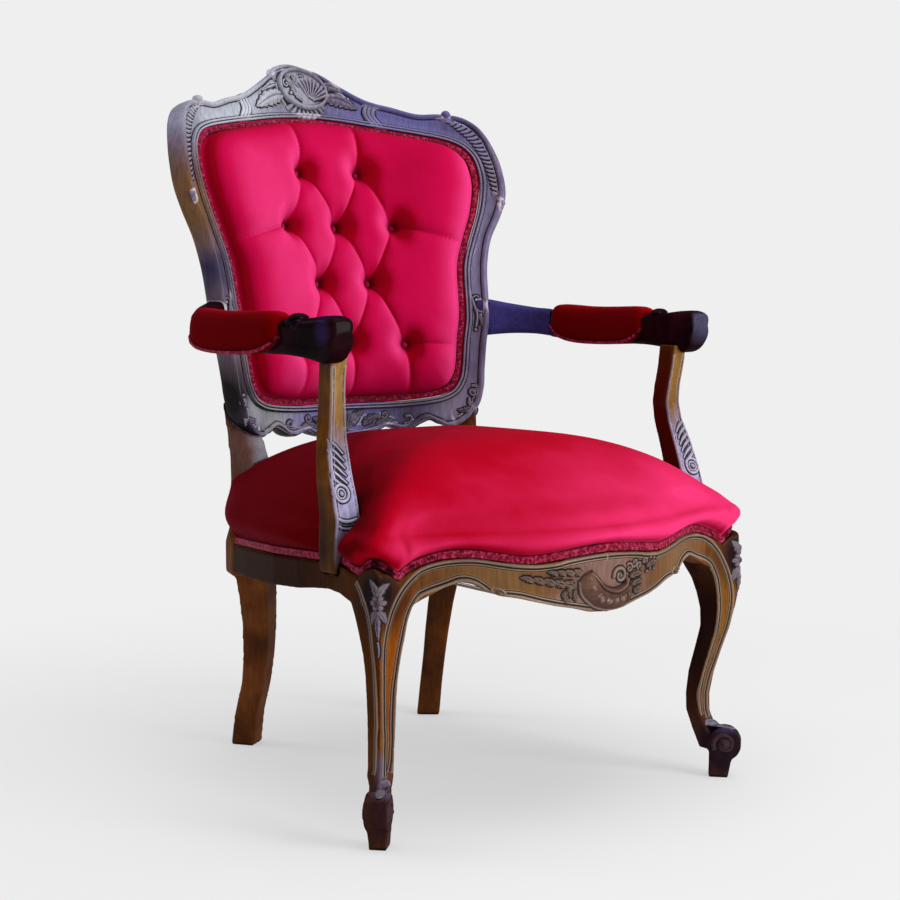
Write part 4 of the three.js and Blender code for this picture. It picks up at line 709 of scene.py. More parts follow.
# Carving on the seat frame: beads along the edges of the rail and down the legs, a shell with
# sprays of leaves in the middle of the rail, and a flower drop on each knee.
def bed_on(*things, across, up=(0, 0, 1)):
    """A bed on made pieces, met square to the two directions from outside."""
    points, faces = [], []
    for thing in things:
        start = len(points)
        points += [v.co.copy() for v in thing.data.vertices]
        faces += [[start + i for i in p.vertices] for p in thing.data.polygons]
    tree = BVHTree.FromPolygons(points, faces)
    across, up = Vector(across).normalized(), Vector(up)
    out = across.cross(up)

    def bed(a, u, height):
        places = np.empty(a.shape + (3,))
        for index in np.ndindex(a.shape):
            plain = across * a[index] + up * u[index]
            hit = tree.ray_cast(plain + out, -out)[0] or tree.find_nearest(plain + out * 0.45)[0]
            places[index] = hit + out * height[index]
        return places

    return bed


front_bed = bed_on(seat_frame, across=(1, 0, 0))
rail_top = [
    (0.000, 0.3515), (0.028, 0.3505), (0.057, 0.3475), (0.072, 0.3445), (0.097, 0.3425), (0.122, 0.3440),
    (0.145, 0.3480), (0.169, 0.3525), (0.192, 0.3535), (0.214, 0.3515),
]
knee_edge = [
    (0.232, 0.3470), (0.246, 0.3400), (0.257, 0.3310), (0.267, 0.3200), (0.277, 0.3040), (0.2845, 0.2870),
    (0.2895, 0.2690), (0.2915, 0.2490), (0.2895, 0.2220), (0.2850, 0.1950), (0.2785, 0.1600),
    (0.2735, 0.1320), (0.2725, 0.1100), (0.2735, 0.0950), (0.2750, 0.0840),
]
arch_edge = [
    (0.2610, 0.0880), (0.2585, 0.0980), (0.2570, 0.1100), (0.2575, 0.1320), (0.2645, 0.1870),
    (0.2665, 0.2100), (0.2655, 0.2390), (0.2615, 0.2650), (0.2555, 0.2890), (0.2440, 0.3080),
    (0.2310, 0.3155), (0.2100, 0.3225), (0.1900, 0.3290), (0.1760, 0.3270), (0.1650, 0.3205),
    (0.1560, 0.3125),
]
rail_low = [
    (0.1400, 0.3085), (0.1200, 0.3055), (0.0930, 0.2975), (0.0700, 0.2920), (0.0480, 0.2875),
    (0.0260, 0.2830),
]


def moulding(bed, way, path, inward, name):
    """A bead, a quirk filled with dark glaze and painted shadow, and a fine second bead, running side by
    side.
    """
    line = flowing(path, 3 * len(path))
    side = inward * unit_side(line)
    beads, glaze_and_shade = Carving(bed, way, False), Carving(bed, way, False)
    beads.rod(line, 0.0016, 1.1)
    beads.rod(line + side * 0.0048, 0.0010, 1.0)
    # Glaze and painted shadow: dark rods lying in the quirks.
    glaze_and_shade.rod(line + side * 0.0032, 0.0016, 0.6)
    glaze_and_shade.rod(line + side * 0.0064, 0.0010, 0.6)
    beads.done(name, edge_walnut)
    fasten(piece(name + "_quirk", glaze_and_shade.points, glaze_and_shade.faces, quirk_glaze_and_shadow), "walnut")


leg_front_heights = [0.115, 0.132, 0.187, 0.210, 0.239, 0.265, 0.289]
leg_fronts = [-0.335, -0.337, -0.351, -0.357, -0.362, -0.364, -0.366]
for name, way in both_sides:
    for edge, path in (("rail", rail_top + knee_edge), ("arch", arch_edge), ("low", rail_low)):
        moulding(front_bed, way, path, -1, f"{edge}_bead_{name}")
    knobs = Carving(front_bed, way, False)
    knobs.knob(0.1475, 0.3105, 0.0052, 1.2)
    knobs.knob(0.1550, 0.3135, 0.0034, 1.2)
    knobs.rod([(0.137, 0.3095), (0.142, 0.315), (0.149, 0.3175)], [0.0012, 0.0020, 0.0012], 1.2)
    knobs.done(f"rail_knobs_{name}", edge_walnut)
    side_edge = [(0.3020 - x, z) for x, z in knee_edge[2:8]]
    side_edge += [(0.0075, 0.222), (0.0070, 0.195), (0.0065, 0.160), (0.0060, 0.132), (0.0065, 0.112),
                  (0.0070, 0.095), (0.0075, 0.086)]
    fronts = np.interp([z for _, z in side_edge], leg_front_heights, leg_fronts)
    path = [(frame_line + f + d, z) for (d, z), f in zip(side_edge, fronts)]
    moulding(bed_on(seat_frame, across=(0, way, 0)), way, path, 1, f"leg_bead_{name}")
    for number, out in enumerate([(way, 1), (-way, -1)], 1):  # the volutes at both ends of the toe
        toe = Carving(bed_on(seat_frame, across=(-out[1], out[0], 0)), 1, False)
        eye = (-out[1] * way * 0.2905 + out[0] * (frame_line - 0.3510)) / math.sqrt(2)
        turning = 1 if number == 1 else -1
        toe.scroll(eye, 0.0485, 0.0160, math.radians(90 - 120 * turning), 1.25, 0.0026, turning)
        toe.knob(eye, 0.0485, 0.0080, 0.45)
        toe.done(f"toe_volute_{name}_{number}", toe_walnut)
    knee = Carving(bed_on(seat_frame, across=(1, way, 0)))
    middle = (way * 0.302 + way * (frame_line - 0.366)) / math.sqrt(2)
    flower_height, petal_ring = 0.3085, 0.0066
    knee.knob(middle, flower_height, 0.0052, 1.0)
    for petal in range(6):
        turn = petal * math.pi / 3
        x, z = petal_ring * math.cos(turn), petal_ring * math.sin(turn)
        knee.knob(middle + x, flower_height + z, 0.0034, 0.9)
    knee.leaf([(middle, 0.316), (middle - 0.004, 0.328), (middle - 0.011, 0.337)], 0.0052, 0.0045, 3)
    knee.leaf([(middle, 0.316), (middle + 0.005, 0.326), (middle + 0.013, 0.332)], 0.0052, 0.0045, 3)
    knee.leaf([(middle, 0.300), (middle + 0.006, 0.292), (middle + 0.009, 0.283)], 0.0046, 0.004, 3)
    knee.leaf([(middle, 0.300), (middle - 0.006, 0.291), (middle - 0.008, 0.281)], 0.0046, 0.004, 3)
    knee.leaf([(middle, 0.296), (middle, 0.278), (middle + 0.001, 0.262)], 0.0040, 0.0045, 4)
    knee.rod([(middle, 0.262), (middle + 0.001, 0.250), (middle, 0.240)], [0.0018, 0.0010], 1.2)
    knee.outlined = False
    knee.knob(middle, 0.0745, 0.0072, 1.0)
    knee.done(f"knee_flower_{name}", carved_walnut)

rail_shell = Carving(front_bed)
belly = [(-0.029, 0.333), (-0.041, 0.322), (-0.039, 0.303), (-0.024, 0.288), (-0.004, 0.282), (0.018, 0.282),
         (0.037, 0.289), (0.040, 0.303)]
rim_line = [(-0.026, 0.331), (-0.014, 0.319), (-0.003, 0.308), (0.016, 0.303), (0.032, 0.309), (0.036, 0.320)]
outer = flowing(belly, 60)
inner = flowing(rim_line, 60)
across = np.linspace(0, 1, 14)[:, None]
swell = 0.0095 * np.sin(np.pi * (0.04 + 0.92 * across)) ** 0.6
ribs = 1 + 0.10 * np.cos(np.linspace(0, 14 * np.pi, 60))[None] * np.sin(np.pi * across)
rail_shell.skin(inner[:, 0] + (outer[:, 0] - inner[:, 0]) * across,
                inner[:, 1] + (outer[:, 1] - inner[:, 1]) * across, swell * ribs - 0.0005)
rail_shell.rod(rim_line, [0.0024, 0.0036, 0.0030], 2.2)
rail_shell.scroll(0.024, 0.322, 0.0115, 3.4, 1.25, 0.0030, -1)
rail_shell.rod(belly[1:-1], 0.0022, 1.3)
for x, z in ((-0.013, 0.2965), (-0.002, 0.2935), (0.010, 0.2930), (0.021, 0.2950)):
    festoon = [(x - 0.0048, z + 0.002), (x, z - 0.0022), (x + 0.0048, z + 0.002)]
    rail_shell.rod(festoon, [0.0012, 0.0022, 0.0012], 5.0)
for i in range(5):  # the lower spray
    x, z = -0.054 - 0.0135 * i, 0.3145 + 0.0026 * i
    spine = [(x + 0.004, z - 0.002), (x - 0.003, z + 0.003), (x - 0.012, z + 0.0045)]
    rail_shell.leaf(spine, 0.0062 - 0.0006 * i, 0.0062, 3)
for i in range(4):  # the upper spray
    x, z = -0.043 - 0.0115 * i, 0.3315 + 0.0006 * i
    spine = [(x + 0.004, z - 0.003), (x - 0.003, z + 0.001), (x - 0.010, z + 0.002)]
    rail_shell.leaf(spine, 0.0048 - 0.0005 * i, 0.0058, 3)
for x, z in ((-0.062, 0.302), (-0.055, 0.308), (-0.048, 0.303)):
    rail_shell.leaf([(x, z + 0.008), (x - 0.002, z), (x, z - 0.008)], 0.0040, 0.0052, 3)
for i, (x, z) in enumerate([(0.041, 0.330), (0.050, 0.336), (0.060, 0.331), (0.070, 0.336)]):
    rail_shell.scroll(x, z, 0.0065 - 0.0005 * i, 2.5 + i, 1.1, 0.0021, 1 if i % 2 else -1)
right_spray = [
    [(0.040, 0.318), (0.052, 0.322), (0.066, 0.320)], [(0.044, 0.308), (0.054, 0.312), (0.066, 0.309)],
    [(0.072, 0.328), (0.084, 0.333), (0.098, 0.331)], [(0.046, 0.298), (0.054, 0.303), (0.062, 0.302)],
]
for spine in right_spray:
    rail_shell.leaf(spine, 0.0055, 0.006, 3)
for x, z in ((0.080, 0.340), (0.088, 0.338), (0.096, 0.336), (0.074, 0.322), (0.082, 0.325), (0.090, 0.324)):
    rail_shell.knob(x, z, 0.0026, 1.3)
rail_walnut = lacquered("walnut_rail_carving", "7c5a4a", "5a3e34", "281614", "d8c4b4", 0, wear_and_highlight=0.2)
rail_shell.done("rail_shell", rail_walnut)


# The arms: bent and carved walnut that leaves the posts outwards, turns forward under the pads and
# ends in a squared hand whose nose slopes back to the support. A small volute closes the pad.
# Painted light: the blue-violet on the far arm's rear, the pale front of its hand and the violet at the near
# hand are painted reflections and highlights.
arm_walnut = lacquered("walnut_arms", "34101a", "200a10", "0c0406", "4a3a58", 1, [
    ((0.27, frame_line + 0.12, 0.64), 0.13, "3c3a78"),
    ((0.300, support_line, 0.64), 0.04, "46425a", to_front),
    ((-0.30, frame_line - 0.26, 0.635), 0.025, "2c1c50"),
], wear_and_highlight=0.2, gloss=0.05)
arm_rows = [  # x, y, half width, top and underside along the arm, from the post to the nose
    (0.2300, 0.158, 0.0155, 0.668, 0.606), (0.2425, 0.146, 0.0155, 0.666, 0.609),
    (0.2700, 0.122, 0.0145, 0.659, 0.612), (0.2930, 0.090, 0.0140, 0.653, 0.612),
    (0.3080, 0.066, 0.0135, 0.650, 0.609), (0.3110, 0.057, 0.0120, 0.641, 0.607),
    (0.3150, 0.025, 0.0120, 0.637, 0.605), (0.3160, -0.030, 0.0120, 0.635, 0.603),
    (0.3140, -0.090, 0.0120, 0.635, 0.602), (0.3080, -0.150, 0.0125, 0.638, 0.602),
    (0.3060, -0.166, 0.0135, 0.645, 0.602), (0.3045, -0.178, 0.0140, 0.6490, 0.6015),
    (0.3025, -0.200, 0.0135, 0.6475, 0.600), (0.2990, -0.225, 0.0145, 0.6500, 0.597),
    (0.2975, -0.245, 0.0158, 0.6520, 0.594), (0.2970, -0.260, 0.0168, 0.6530, 0.594),
    (0.2970, -0.271, 0.0172, 0.6530, 0.598), (0.2970, -0.2795, 0.0170, 0.6510, 0.607),
    (0.2970, -0.2850, 0.0150, 0.6475, 0.617), (0.2970, -0.2862, 0.0100, 0.6430, 0.626),
]
arm_length_rows, arm_columns = 150, 36
roll_columns = 18
for name, way in both_sides:
    rows = flowing(arm_rows, arm_length_rows)
    centre = rows[:, :2] * (way, 1) + (0, frame_line)
    beside = unit_side(centre)
    turn = np.linspace(0, 2 * np.pi, arm_columns, endpoint=False)
    round_x = squarer(np.cos(turn), 0.5)
    round_z = squarer(np.sin(turn), 0.42)
    flank = 1 - 0.10 * np.exp(-((round_z / 0.35) ** 2))
    half, top, low = rows[:, 2:3], rows[:, 3:4], rows[:, 4:5]
    x = centre[:, :1] + beside[:, :1] * half * round_x * flank
    y = centre[:, 1:] + beside[:, 1:] * half * round_x * flank
    z = (top + low) / 2 + (top - low) / 2 * round_z
    arm_faces = skin_faces(arm_length_rows, arm_columns)
    arm = piece(f"arm_rest_{name}", np.dstack([x, y, z]), arm_faces, arm_walnut)
    fasten(arm, "walnut", f"arm_{name}")
    hand = Carving(bed_on(arm, across=(0, way, 0)), 1, False)
    volute = [(-0.182, 0.640), (-0.186, 0.648), (-0.194, 0.652), (-0.203, 0.649), (-0.205, 0.641),
              (-0.199, 0.636), (-0.193, 0.640)]
    shoulder_line = [(-0.207, 0.643), (-0.230, 0.6445), (-0.252, 0.646), (-0.270, 0.645)]
    hand.rod([(way * (frame_line + y), z) for y, z in volute], [0.003, 0.0042, 0.0026], 1.1)
    hand.rod([(way * (frame_line + y), z) for y, z in shoulder_line], [0.0012, 0.0018, 0.0014], 1.1)
    hand.done(f"arm_volute_{name}", arm_walnut)
    roll_rings = []
    angle = np.linspace(0, 2 * np.pi, roll_columns, endpoint=False)
    for place_x in np.linspace(-0.0135, 0.0135, 7):
        slope = math.sqrt(max(1 - (place_x / 0.0148) ** 2, 0.02))
        roll_rings.append(np.column_stack([np.full(roll_columns, way * 0.3035 + place_x),
                                           frame_line - 0.1905 + 0.0075 * slope * np.cos(angle),
                                           0.6490 + 0.0062 * slope * np.sin(angle)]))
    fasten(piece(f"arm_roll_{name}", roll_rings, skin_faces(7, roll_columns), arm_walnut), "walnut")


# Carving on the fronts of the arm supports, cut in the same walnut: beads along both edges, then
# slanting flutes over a rosette, and two rolls where the support meets the seat.
for name, way in both_sides:
    support = bpy.data.objects[f"support_{name}"]
    face = Carving(bed_on(support, across=(1, 0, 0)), way)
    outer_line = [(0.2945, 0.592), (0.2930, 0.573), (0.2910, 0.548), (0.2910, 0.523), (0.2940, 0.498),
                  (0.2985, 0.474), (0.3030, 0.451), (0.3050, 0.426), (0.3060, 0.400), (0.3060, 0.378)]
    inner_line = [(0.2745, 0.592), (0.2745, 0.573), (0.2725, 0.548), (0.2705, 0.523), (0.2715, 0.498),
                  (0.2725, 0.474), (0.2735, 0.451), (0.2735, 0.426), (0.2745, 0.400), (0.2765, 0.378)]
    face.outlined = False
    face.rod(outer_line, 0.0014, 1.2)
    face.rod(inner_line, 0.0014, 1.2)
    face.rod([(x - 0.0042, z) for x, z in outer_line], 0.0009, 1.1)
    # Dark lines of glaze and painted shadow in the quirks beside the beads.
    lines = Carving(face.bed, way, False)
    lines.rod([(x - 0.0026, z) for x, z in outer_line], 0.0009, 0.6)
    lines.rod([(x + 0.0026, z) for x, z in inner_line], 0.0009, 0.6)
    fasten(piece(f"support_quirk_{name}", lines.points, lines.faces, quirk_glaze_and_shadow), "walnut")
    face.outlined = True
    stalk = [(0.2965, 0.500), (0.2990, 0.480), (0.3010, 0.462), (0.3005, 0.449)]
    face.rod(stalk, [0.0012, 0.0020, 0.0022], 1.3)
    for i in range(6):
        x, z = 0.2955 + 0.0011 * i, 0.4965 - 0.0090 * i
        flute = [(x, z), (x - 0.0075, z - 0.0060), (x - 0.0165 - 0.0006 * i, z - 0.0170)]
        face.rod(flute, [0.0020, 0.0021, 0.0011], 1.3)
    face.ring(0.2935, 0.4335, 0.0100, 0.0100, 0, 0.0022, 1.4)
    face.ring(0.2940, 0.4330, 0.0058, 0.0058, 0, 0.0016, 1.6)
    face.knob(0.2940, 0.4330, 0.0034, 1.5)
    upper_roll = [(0.3055, 0.404), (0.298, 0.4000), (0.288, 0.399), (0.2765, 0.402)]
    lower_roll = [(0.3055, 0.395), (0.298, 0.3910), (0.288, 0.390), (0.2765, 0.393)]
    face.rod(upper_roll, [0.0020, 0.0026, 0.0020], 1.3)
    face.rod(lower_roll, [0.0016, 0.0020, 0.0016], 1.3)
    face.done(f"support_carving_{name}", carved_walnut)


# The seat: velvet over a domed stuffing, nailed to the rails just above the show wood and cut
# round the posts and the arm supports. It stands plumb behind the braid, then swells and domes.
def velvet(name, shade, pile_colour, glow, lit_way, light_gradient=(0, 0, 0), hollow=0.03):
    """Cut velvet with painted light: faces turned the lit way are painted pinker, others deeper, a painted
    gradient runs the given way, and hollows are painted darker as shade; brushing varies it at random."""
    cloth = Finish(name)
    brushed = cloth.noise(cloth.stretched((10, 10, 6)), 1.0, 3, 0.6)
    # Painted light: how far each face is turned the lit way, plus a painted gradient across the piece.
    lit_facing = cloth.vectors(cloth.add("ShaderNodeNewGeometry").outputs["Normal"], lit_way, "DOT_PRODUCT")
    painted_gradient = cloth.vectors(cloth.place, light_gradient, "DOT_PRODUCT")
    lay = cloth.maths(cloth.maths(lit_facing, painted_gradient), cloth.maths(brushed, 0.35, "MULTIPLY"))
    colour = cloth.ramp(lay, [(0.05, shade), (0.38, pile_colour), (0.62, pile_colour), (0.98, glow)])
    colour.node.color_ramp.interpolation = "B_SPLINE"
    pile = cloth.noise(cloth.place, 900.0, 2, 0.7)
    ribs = cloth.waves(95.0, 1.5, "X")
    # Painted shade: the colour darkens towards deep red in the hollows.
    hollow_shade = cloth.ramp(cloth.occlusion(hollow), [(0.30, "500008"), (0.80, "ffffff")])
    colour = cloth.mixed(1.0, colour, hollow_shade, "MULTIPLY")
    colour = cloth.mixed(0.20, colour, cloth.ramp(pile, [(0.3, 0.25), (0.7, 1.0)]), "MULTIPLY")
    colour = cloth.mixed(0.06, colour, cloth.ramp(ribs, [(0.2, 0.4), (0.8, 1.0)]), "MULTIPLY")
    bumps = cloth.bump(pile, 0.0006, 0.6, cloth.bump(ribs, 0.0002, 0.3))
    cloth.set(base_color=colour, roughness=0.9, normal=bumps, sheen_weight=0.12, sheen_roughness=0.3,
              sheen_tint=(1.0, 0.08, 0.22, 1), specular_ior_level=0.02)
    return cloth.material


# Painted light on the seat: faces turned forward and right, and the front and right of the seat, are painted
# pinker; the rear and left are deeper red.
seat_velvet = velvet("velvet_seat", "600004", "b8001e", "ea3470", lit_way=(0.35, -0.45, 0.0),
                     light_gradient=(0.45, -1.0, 0.0))
tacking_line = [  # from the middle of the front to the middle of the rear, with a share of the swell
    (0.0000, -0.4304, 0.3539, 0.90), (0.0982, -0.4147, 0.3451, 0.90), (0.1401, -0.3982, 0.3497, 0.90),
    (0.1752, -0.3836, 0.3554, 0.90), (0.2081, -0.3693, 0.3546, 0.95), (0.2362, -0.3598, 0.3479, 1.00),
    (0.2561, -0.3583, 0.3401, 0.95), (0.2682, -0.3579, 0.3330, 0.85), (0.2815, -0.3576, 0.3426, 0.75),
    (0.2911, -0.3521, 0.3497, 0.75), (0.2941, -0.3382, 0.3465, 0.85), (0.2941, -0.3221, 0.3358, 0.95),
    (0.2935, -0.3052, 0.3380, 1.05), (0.2929, -0.2752, 0.3447, 1.15), (0.2890, -0.1801, 0.3401, 1.35),
    (0.2769, -0.0900, 0.3330, 1.40), (0.2600, -0.0201, 0.3277, 1.45), (0.2419, 0.0500, 0.3220, 1.55),
    (0.2250, 0.1081, 0.3170, 1.10), (0.2141, 0.1451, 0.3142, 0.40), (0.2029, 0.1610, 0.3131, 0.20),
    (0.1700, 0.1700, 0.3131, 0.40), (0.1099, 0.1777, 0.3131, 1.00), (0.0000, 0.1809, 0.3131, 1.00),
]
seat_front, seat_depth = -0.366, 0.529
seat_swell = 0.019
seat_rim_height, seat_rim_rise = 0.389, 0.022
seat_crown_top = 0.489
seat_middle = (0.0, -0.122)
braid_width = 0.011
half_line = np.array(tacking_line)
seat_columns = 480
edge_line = flowing(np.vstack([half_line, half_line[-2:0:-1] * (-1, 1, 1, 1)]), seat_columns, closed=True)
ahead = np.roll(edge_line, -2, 0) - np.roll(edge_line, 2, 0)
seat_out = unit(np.column_stack([-ahead[:, 1], ahead[:, 0], np.zeros(seat_columns)]))
if seat_out[0, 1] > 0:
    seat_out = -seat_out
swell = edge_line[:, 3:] * seat_swell
seat_edge = edge_line[:, :3]


def towards_level(line, level, share):
    """The line raised by a share of the way to a level."""
    raised = line.copy()
    raised[:, 2] += (level - raised[:, 2]) * share
    return raised


rim_level = seat_rim_height + seat_rim_rise * ((seat_edge[:, 1] - seat_front) / seat_depth) ** 2
cloth_stands_off, braid_stands_off = 0.0023, 0.0024
nailed_foot = seat_edge + seat_out * cloth_stands_off
rows = [nailed_foot, nailed_foot + (0, 0, 0.006)]
braid_top = nailed_foot + (0, 0, braid_width + 0.001)
rows.append(braid_top)
for share, out in ((0.14, 0.5), (0.30, 0.86), (0.48, 1.0), (0.68, 0.86), (0.86, 0.5), (1.0, 0.06)):
    rows.append(towards_level(braid_top, rim_level, share) + seat_out * swell * out)
rim = rows[-1]


def softened(ring, width):
    """The ring with its corners eased, as cloth drawn over stuffing eases them."""
    waves = np.fft.rfft(ring, axis=0)
    damped = np.exp(-((np.maximum(np.arange(len(waves)) - 2, 0) * width) ** 2))[:, None]
    return np.fft.irfft(waves * damped, len(ring), axis=0)


for inward in (0.05, 0.10, 0.16, 0.23, 0.31, 0.42, 0.55, 0.70, 0.85, 0.99):
    ring = softened(rim, 0.02 + 0.16 * min(inward / 0.3, 1)) if inward > 0.05 else rim
    ring = ring + (np.append(seat_middle, 0) - ring) * (inward, inward, 0)
    rows.append(towards_level(ring, seat_crown_top, 1 - (1 - inward) ** 2.9))
seat_rows = 72
profile = flowing(np.array(rows).reshape(len(rows), -1), seat_rows)
seat_rings = profile.reshape(seat_rows, seat_columns, 3) + (0, frame_line, 0)
# Slight puckers run up from the nails and fade out over the swell.
above = seat_rings[:, :, 2] - seat_rings[:1, :, 2]
turns = np.linspace(0, 2 * np.pi, seat_columns, endpoint=False)
pucker_start, pucker_depth = 0.014, 0.0009
pucker = np.sin(turns * 53 + 2 * np.sin(turns * 7)) * np.sin(turns * 19 + 1.3)
fade = np.clip(above / pucker_start, 0, 1) * np.clip(1 - (above - pucker_start) / 0.05, 0, 1)
seat_rings += seat_out[None] * (pucker_depth * pucker[None, :] * fade)[..., None]
# The cloth is cut and turned in round each arm support: its half width along the seat's depth.
turned_in = [(-0.300, 0.330), (-0.291, 0.2725), (-0.2465, 0.2725), (-0.2435, 0.303), (-0.140, 0.330)]
widest = np.interp(seat_rings[..., 1] - frame_line, *zip(*turned_in))
seat_rings[..., 0] = np.clip(seat_rings[..., 0], -widest, widest)
seat_pad = piece("seat_pad", seat_rings, skin_faces(seat_rows, seat_columns), seat_velvet)
fasten(seat_pad, "velvet", "seat_cover", "seat_foam")


# The braid: a narrow woven gimp glued over the nailed edges of the velvet. A row of knots runs
# between two twisted cords.
trim = Finish("braid_silk")
threads = trim.noise(trim.place, 230.0, 2, 0.6)
silk = trim.ramp(threads, [(0.34, "560014"), (0.5, "840a2c"), (0.66, "b43a60")])
# Painted shade: the silk darkens in the braid's hollows between the knots and cords.
silk = trim.mixed(1.0, silk, trim.ramp(trim.occlusion(0.003, 6), [(0.45, 0.12), (0.85, 1.0)]), "MULTIPLY")
trim.set(base_color=silk, roughness=0.6, normal=trim.bump(threads, 0.0003, 0.5), sheen_weight=0.12,
         sheen_tint=(1.0, 0.3, 0.45, 1), sheen_roughness=0.4, specular_ior_level=0.1)
knot_pitch = 0.0046


def braid_length(name, foot, across, out, width, closed, nodes):
    """A braid along a line: across runs from its lower edge to its upper, out stands off the cloth."""
    length = np.linalg.norm(np.diff(np.vstack([foot, foot[:1]]) if closed else foot, axis=0), axis=1).sum()
    count = int(length / 0.0009)
    path = flowing(np.hstack([foot, across, out]), count, closed)
    foot, across, out = path[:, :3], path[:, 3:6], path[:, 6:]
    along = np.linspace(0, length, count, endpoint=not closed)[:, None]
    lay = np.linspace(0, 1, 13)[None, :]
    cord_places = np.exp(-(((lay - 0.12) / 0.09) ** 2)) + np.exp(-(((lay - 0.88) / 0.09) ** 2))
    knots = np.cos(2 * np.pi * along / knot_pitch) * np.exp(-(((lay - 0.5) / 0.2) ** 2))
    cords = np.cos(2 * np.pi * (along / (knot_pitch * 0.5) + lay * 3)) * cord_places
    body = 0.0008 + 0.0007 * np.sin(np.pi * lay) ** 0.4
    ridges = 0.0005 * (cord_places + np.exp(-(((lay - 0.5) / 0.22) ** 2)))
    height = body + ridges + 0.0009 * knots + 0.0004 * cords
    height[:, [0, -1]] = -0.0004
    points = foot[:, None] + across[:, None] * (lay * width)[..., None] + out[:, None] * height[..., None]
    made = piece(name, points, skin_faces(*points.shape[:2], looped=closed, closed=False), trim.material)
    return fasten(made, "braid", *nodes)


seat_foot = seat_edge + seat_out * braid_stands_off + (0, frame_line, 0.0004)
upright = np.tile((0.0, 0.0, 1.0), (seat_columns, 1))
braid_length("seat_braid", seat_foot, upright, seat_out, braid_width, True,
             ["seat_gimp_front", "seat_gimp_side_left", "seat_gimp_side_right", "seat_gimp_rear"])


# The back pad: velvet over curled hair, buttoned through in a diamond pattern and pleated between
# the buttons, with straight pleats out to the braid.
# Painted light on the back: faces turned right and forward are painted pinker, left-facing sides deeper, and
# it grows pinker towards the right and the bottom.
back_velvet = velvet("velvet_back", "98001a", "c60a48", "ee3c80", lit_way=(1.0, -0.66, 0.05),
                     light_gradient=(0.3, 0.0, -0.25), hollow=0.022)
buttons = [
    (0.056, 0.850), (-0.056, 0.850), (0.102, 0.770), (0.0, 0.768), (-0.102, 0.770),
    (0.048, 0.685), (-0.048, 0.685), (0.100, 0.593), (0.0, 0.597), (-0.100, 0.593),
]
pleats = [
    (0, 2), (0, 3), (1, 3), (1, 4), (2, 5), (3, 5), (3, 6), (4, 6), (5, 7), (5, 8), (6, 8), (6, 9),
    (0, (0.068, 0.945)), (1, (-0.050, 0.945)), (2, (0.250, 0.742)), (4, (-0.250, 0.742)),
    (7, (0.205, 0.592)), (9, (-0.205, 0.592)), (7, (0.104, 0.500)), (8, (0.0, 0.500)), (9, (-0.104, 0.500)),
]
pad_crown = 0.051
pad_margin = 0.957
button_depth = 0.025
pleat_depth = 0.0085
rim_columns = 520
pad_rows = 150
rim_loop = flowing(whole_loop(opening_edge), rim_columns, closed=True)


def pad_height(x, z, share):
    """How far the velvet stands in front of the back's face; share is 0 in the middle, 1 at the rim."""
    crown = pad_crown * (1 - np.clip(share / pad_margin, 0, 1) ** 6) ** 0.46
    drop = np.zeros_like(x)
    well = np.zeros_like(x)
    for start, end in pleats:
        a = np.array(buttons[start])
        b = np.array(buttons[end] if isinstance(end, int) else end)
        line = b - a
        t = np.clip(((x - a[0]) * line[0] + (z - a[1]) * line[1]) / line.dot(line), 0, 1)
        away = np.hypot(x - a[0] - t * line[0], z - a[1] - t * line[1])
        ends = np.exp(-t * 5) + (np.exp(-(1 - t) * 5) if isinstance(end, int) else 0)
        deep = pleat_depth * ((0.55 if isinstance(end, int) else 0.75) + 0.9 * np.clip(ends, 0, 1))
        fold = deep * (0.38 * np.exp(-away / 0.0022) + 0.62 * np.exp(-((away / 0.012) ** 1.5)))
        drop = np.sqrt(drop**2 + fold**2)
    for bx, bz in buttons:
        away = np.hypot(x - bx, z - bz)
        dimple = 0.55 * np.exp(-((away / 0.022) ** 2)) + 0.45 * np.exp(-((away / 0.016) ** 1.1))
        well += button_depth * dimple
    both = np.sqrt(drop**2 + well**2 + 0.5 * drop * well)
    return crown - both * np.clip(crown / pad_crown, 0, 1) ** 0.7


pad_centre = np.array([0.0, 0.72])


def drawn_in(share, forward, every=1):
    """The opening's outline, drawn in to a share of its size, so far in front of the back's face."""
    return on_back(*(pad_centre + (rim_loop[::every] - pad_centre) * share).T, forward)


shares = 1 - np.linspace(0, 1, pad_rows) ** 1.25
grid = pad_centre + (rim_loop[None] - pad_centre) * shares[:, None, None] * 0.998
x, z = grid[..., 0], grid[..., 1]
share = np.broadcast_to(shares[:, None], x.shape)
front = on_back(x, z, pad_height(x, z, share) - 0.0016)
behind = np.array([drawn_in(s, -0.0046) for s in (0.02, 0.5, 0.998)])
pad_points = np.vstack([behind, front])
back_pad = piece("back_pad", pad_points, skin_faces(*pad_points.shape[:2]), back_velvet)
fasten(back_pad, "velvet", "back_cover", "back_foam")


# The buttons: domed moulds covered in the back's velvet, drawn down to the bottom of each tuft by
# twine through the stuffing.
button_radius, button_half_height = 0.0075, 0.0032
button_rows, button_columns = 9, 20
turn = np.linspace(0, 2 * np.pi, button_columns, endpoint=False)
for number, (bx, bz) in enumerate(buttons, 1):
    rings = []
    for tilt in np.linspace(0.02, np.pi - 0.02, button_rows):
        out = button_radius * np.sin(tilt)
        lift = pad_crown - button_depth - pleat_depth + 0.001 + button_half_height * np.cos(tilt)
        rings.append(on_back(bx + out * np.cos(turn), bz + out * np.sin(turn), np.full(button_columns, lift)))
    button = piece(f"button_{number}", rings, skin_faces(button_rows, button_columns), back_velvet)
    fasten(button, "velvet", f"back_button_{number}")


nailed_share = 0.991


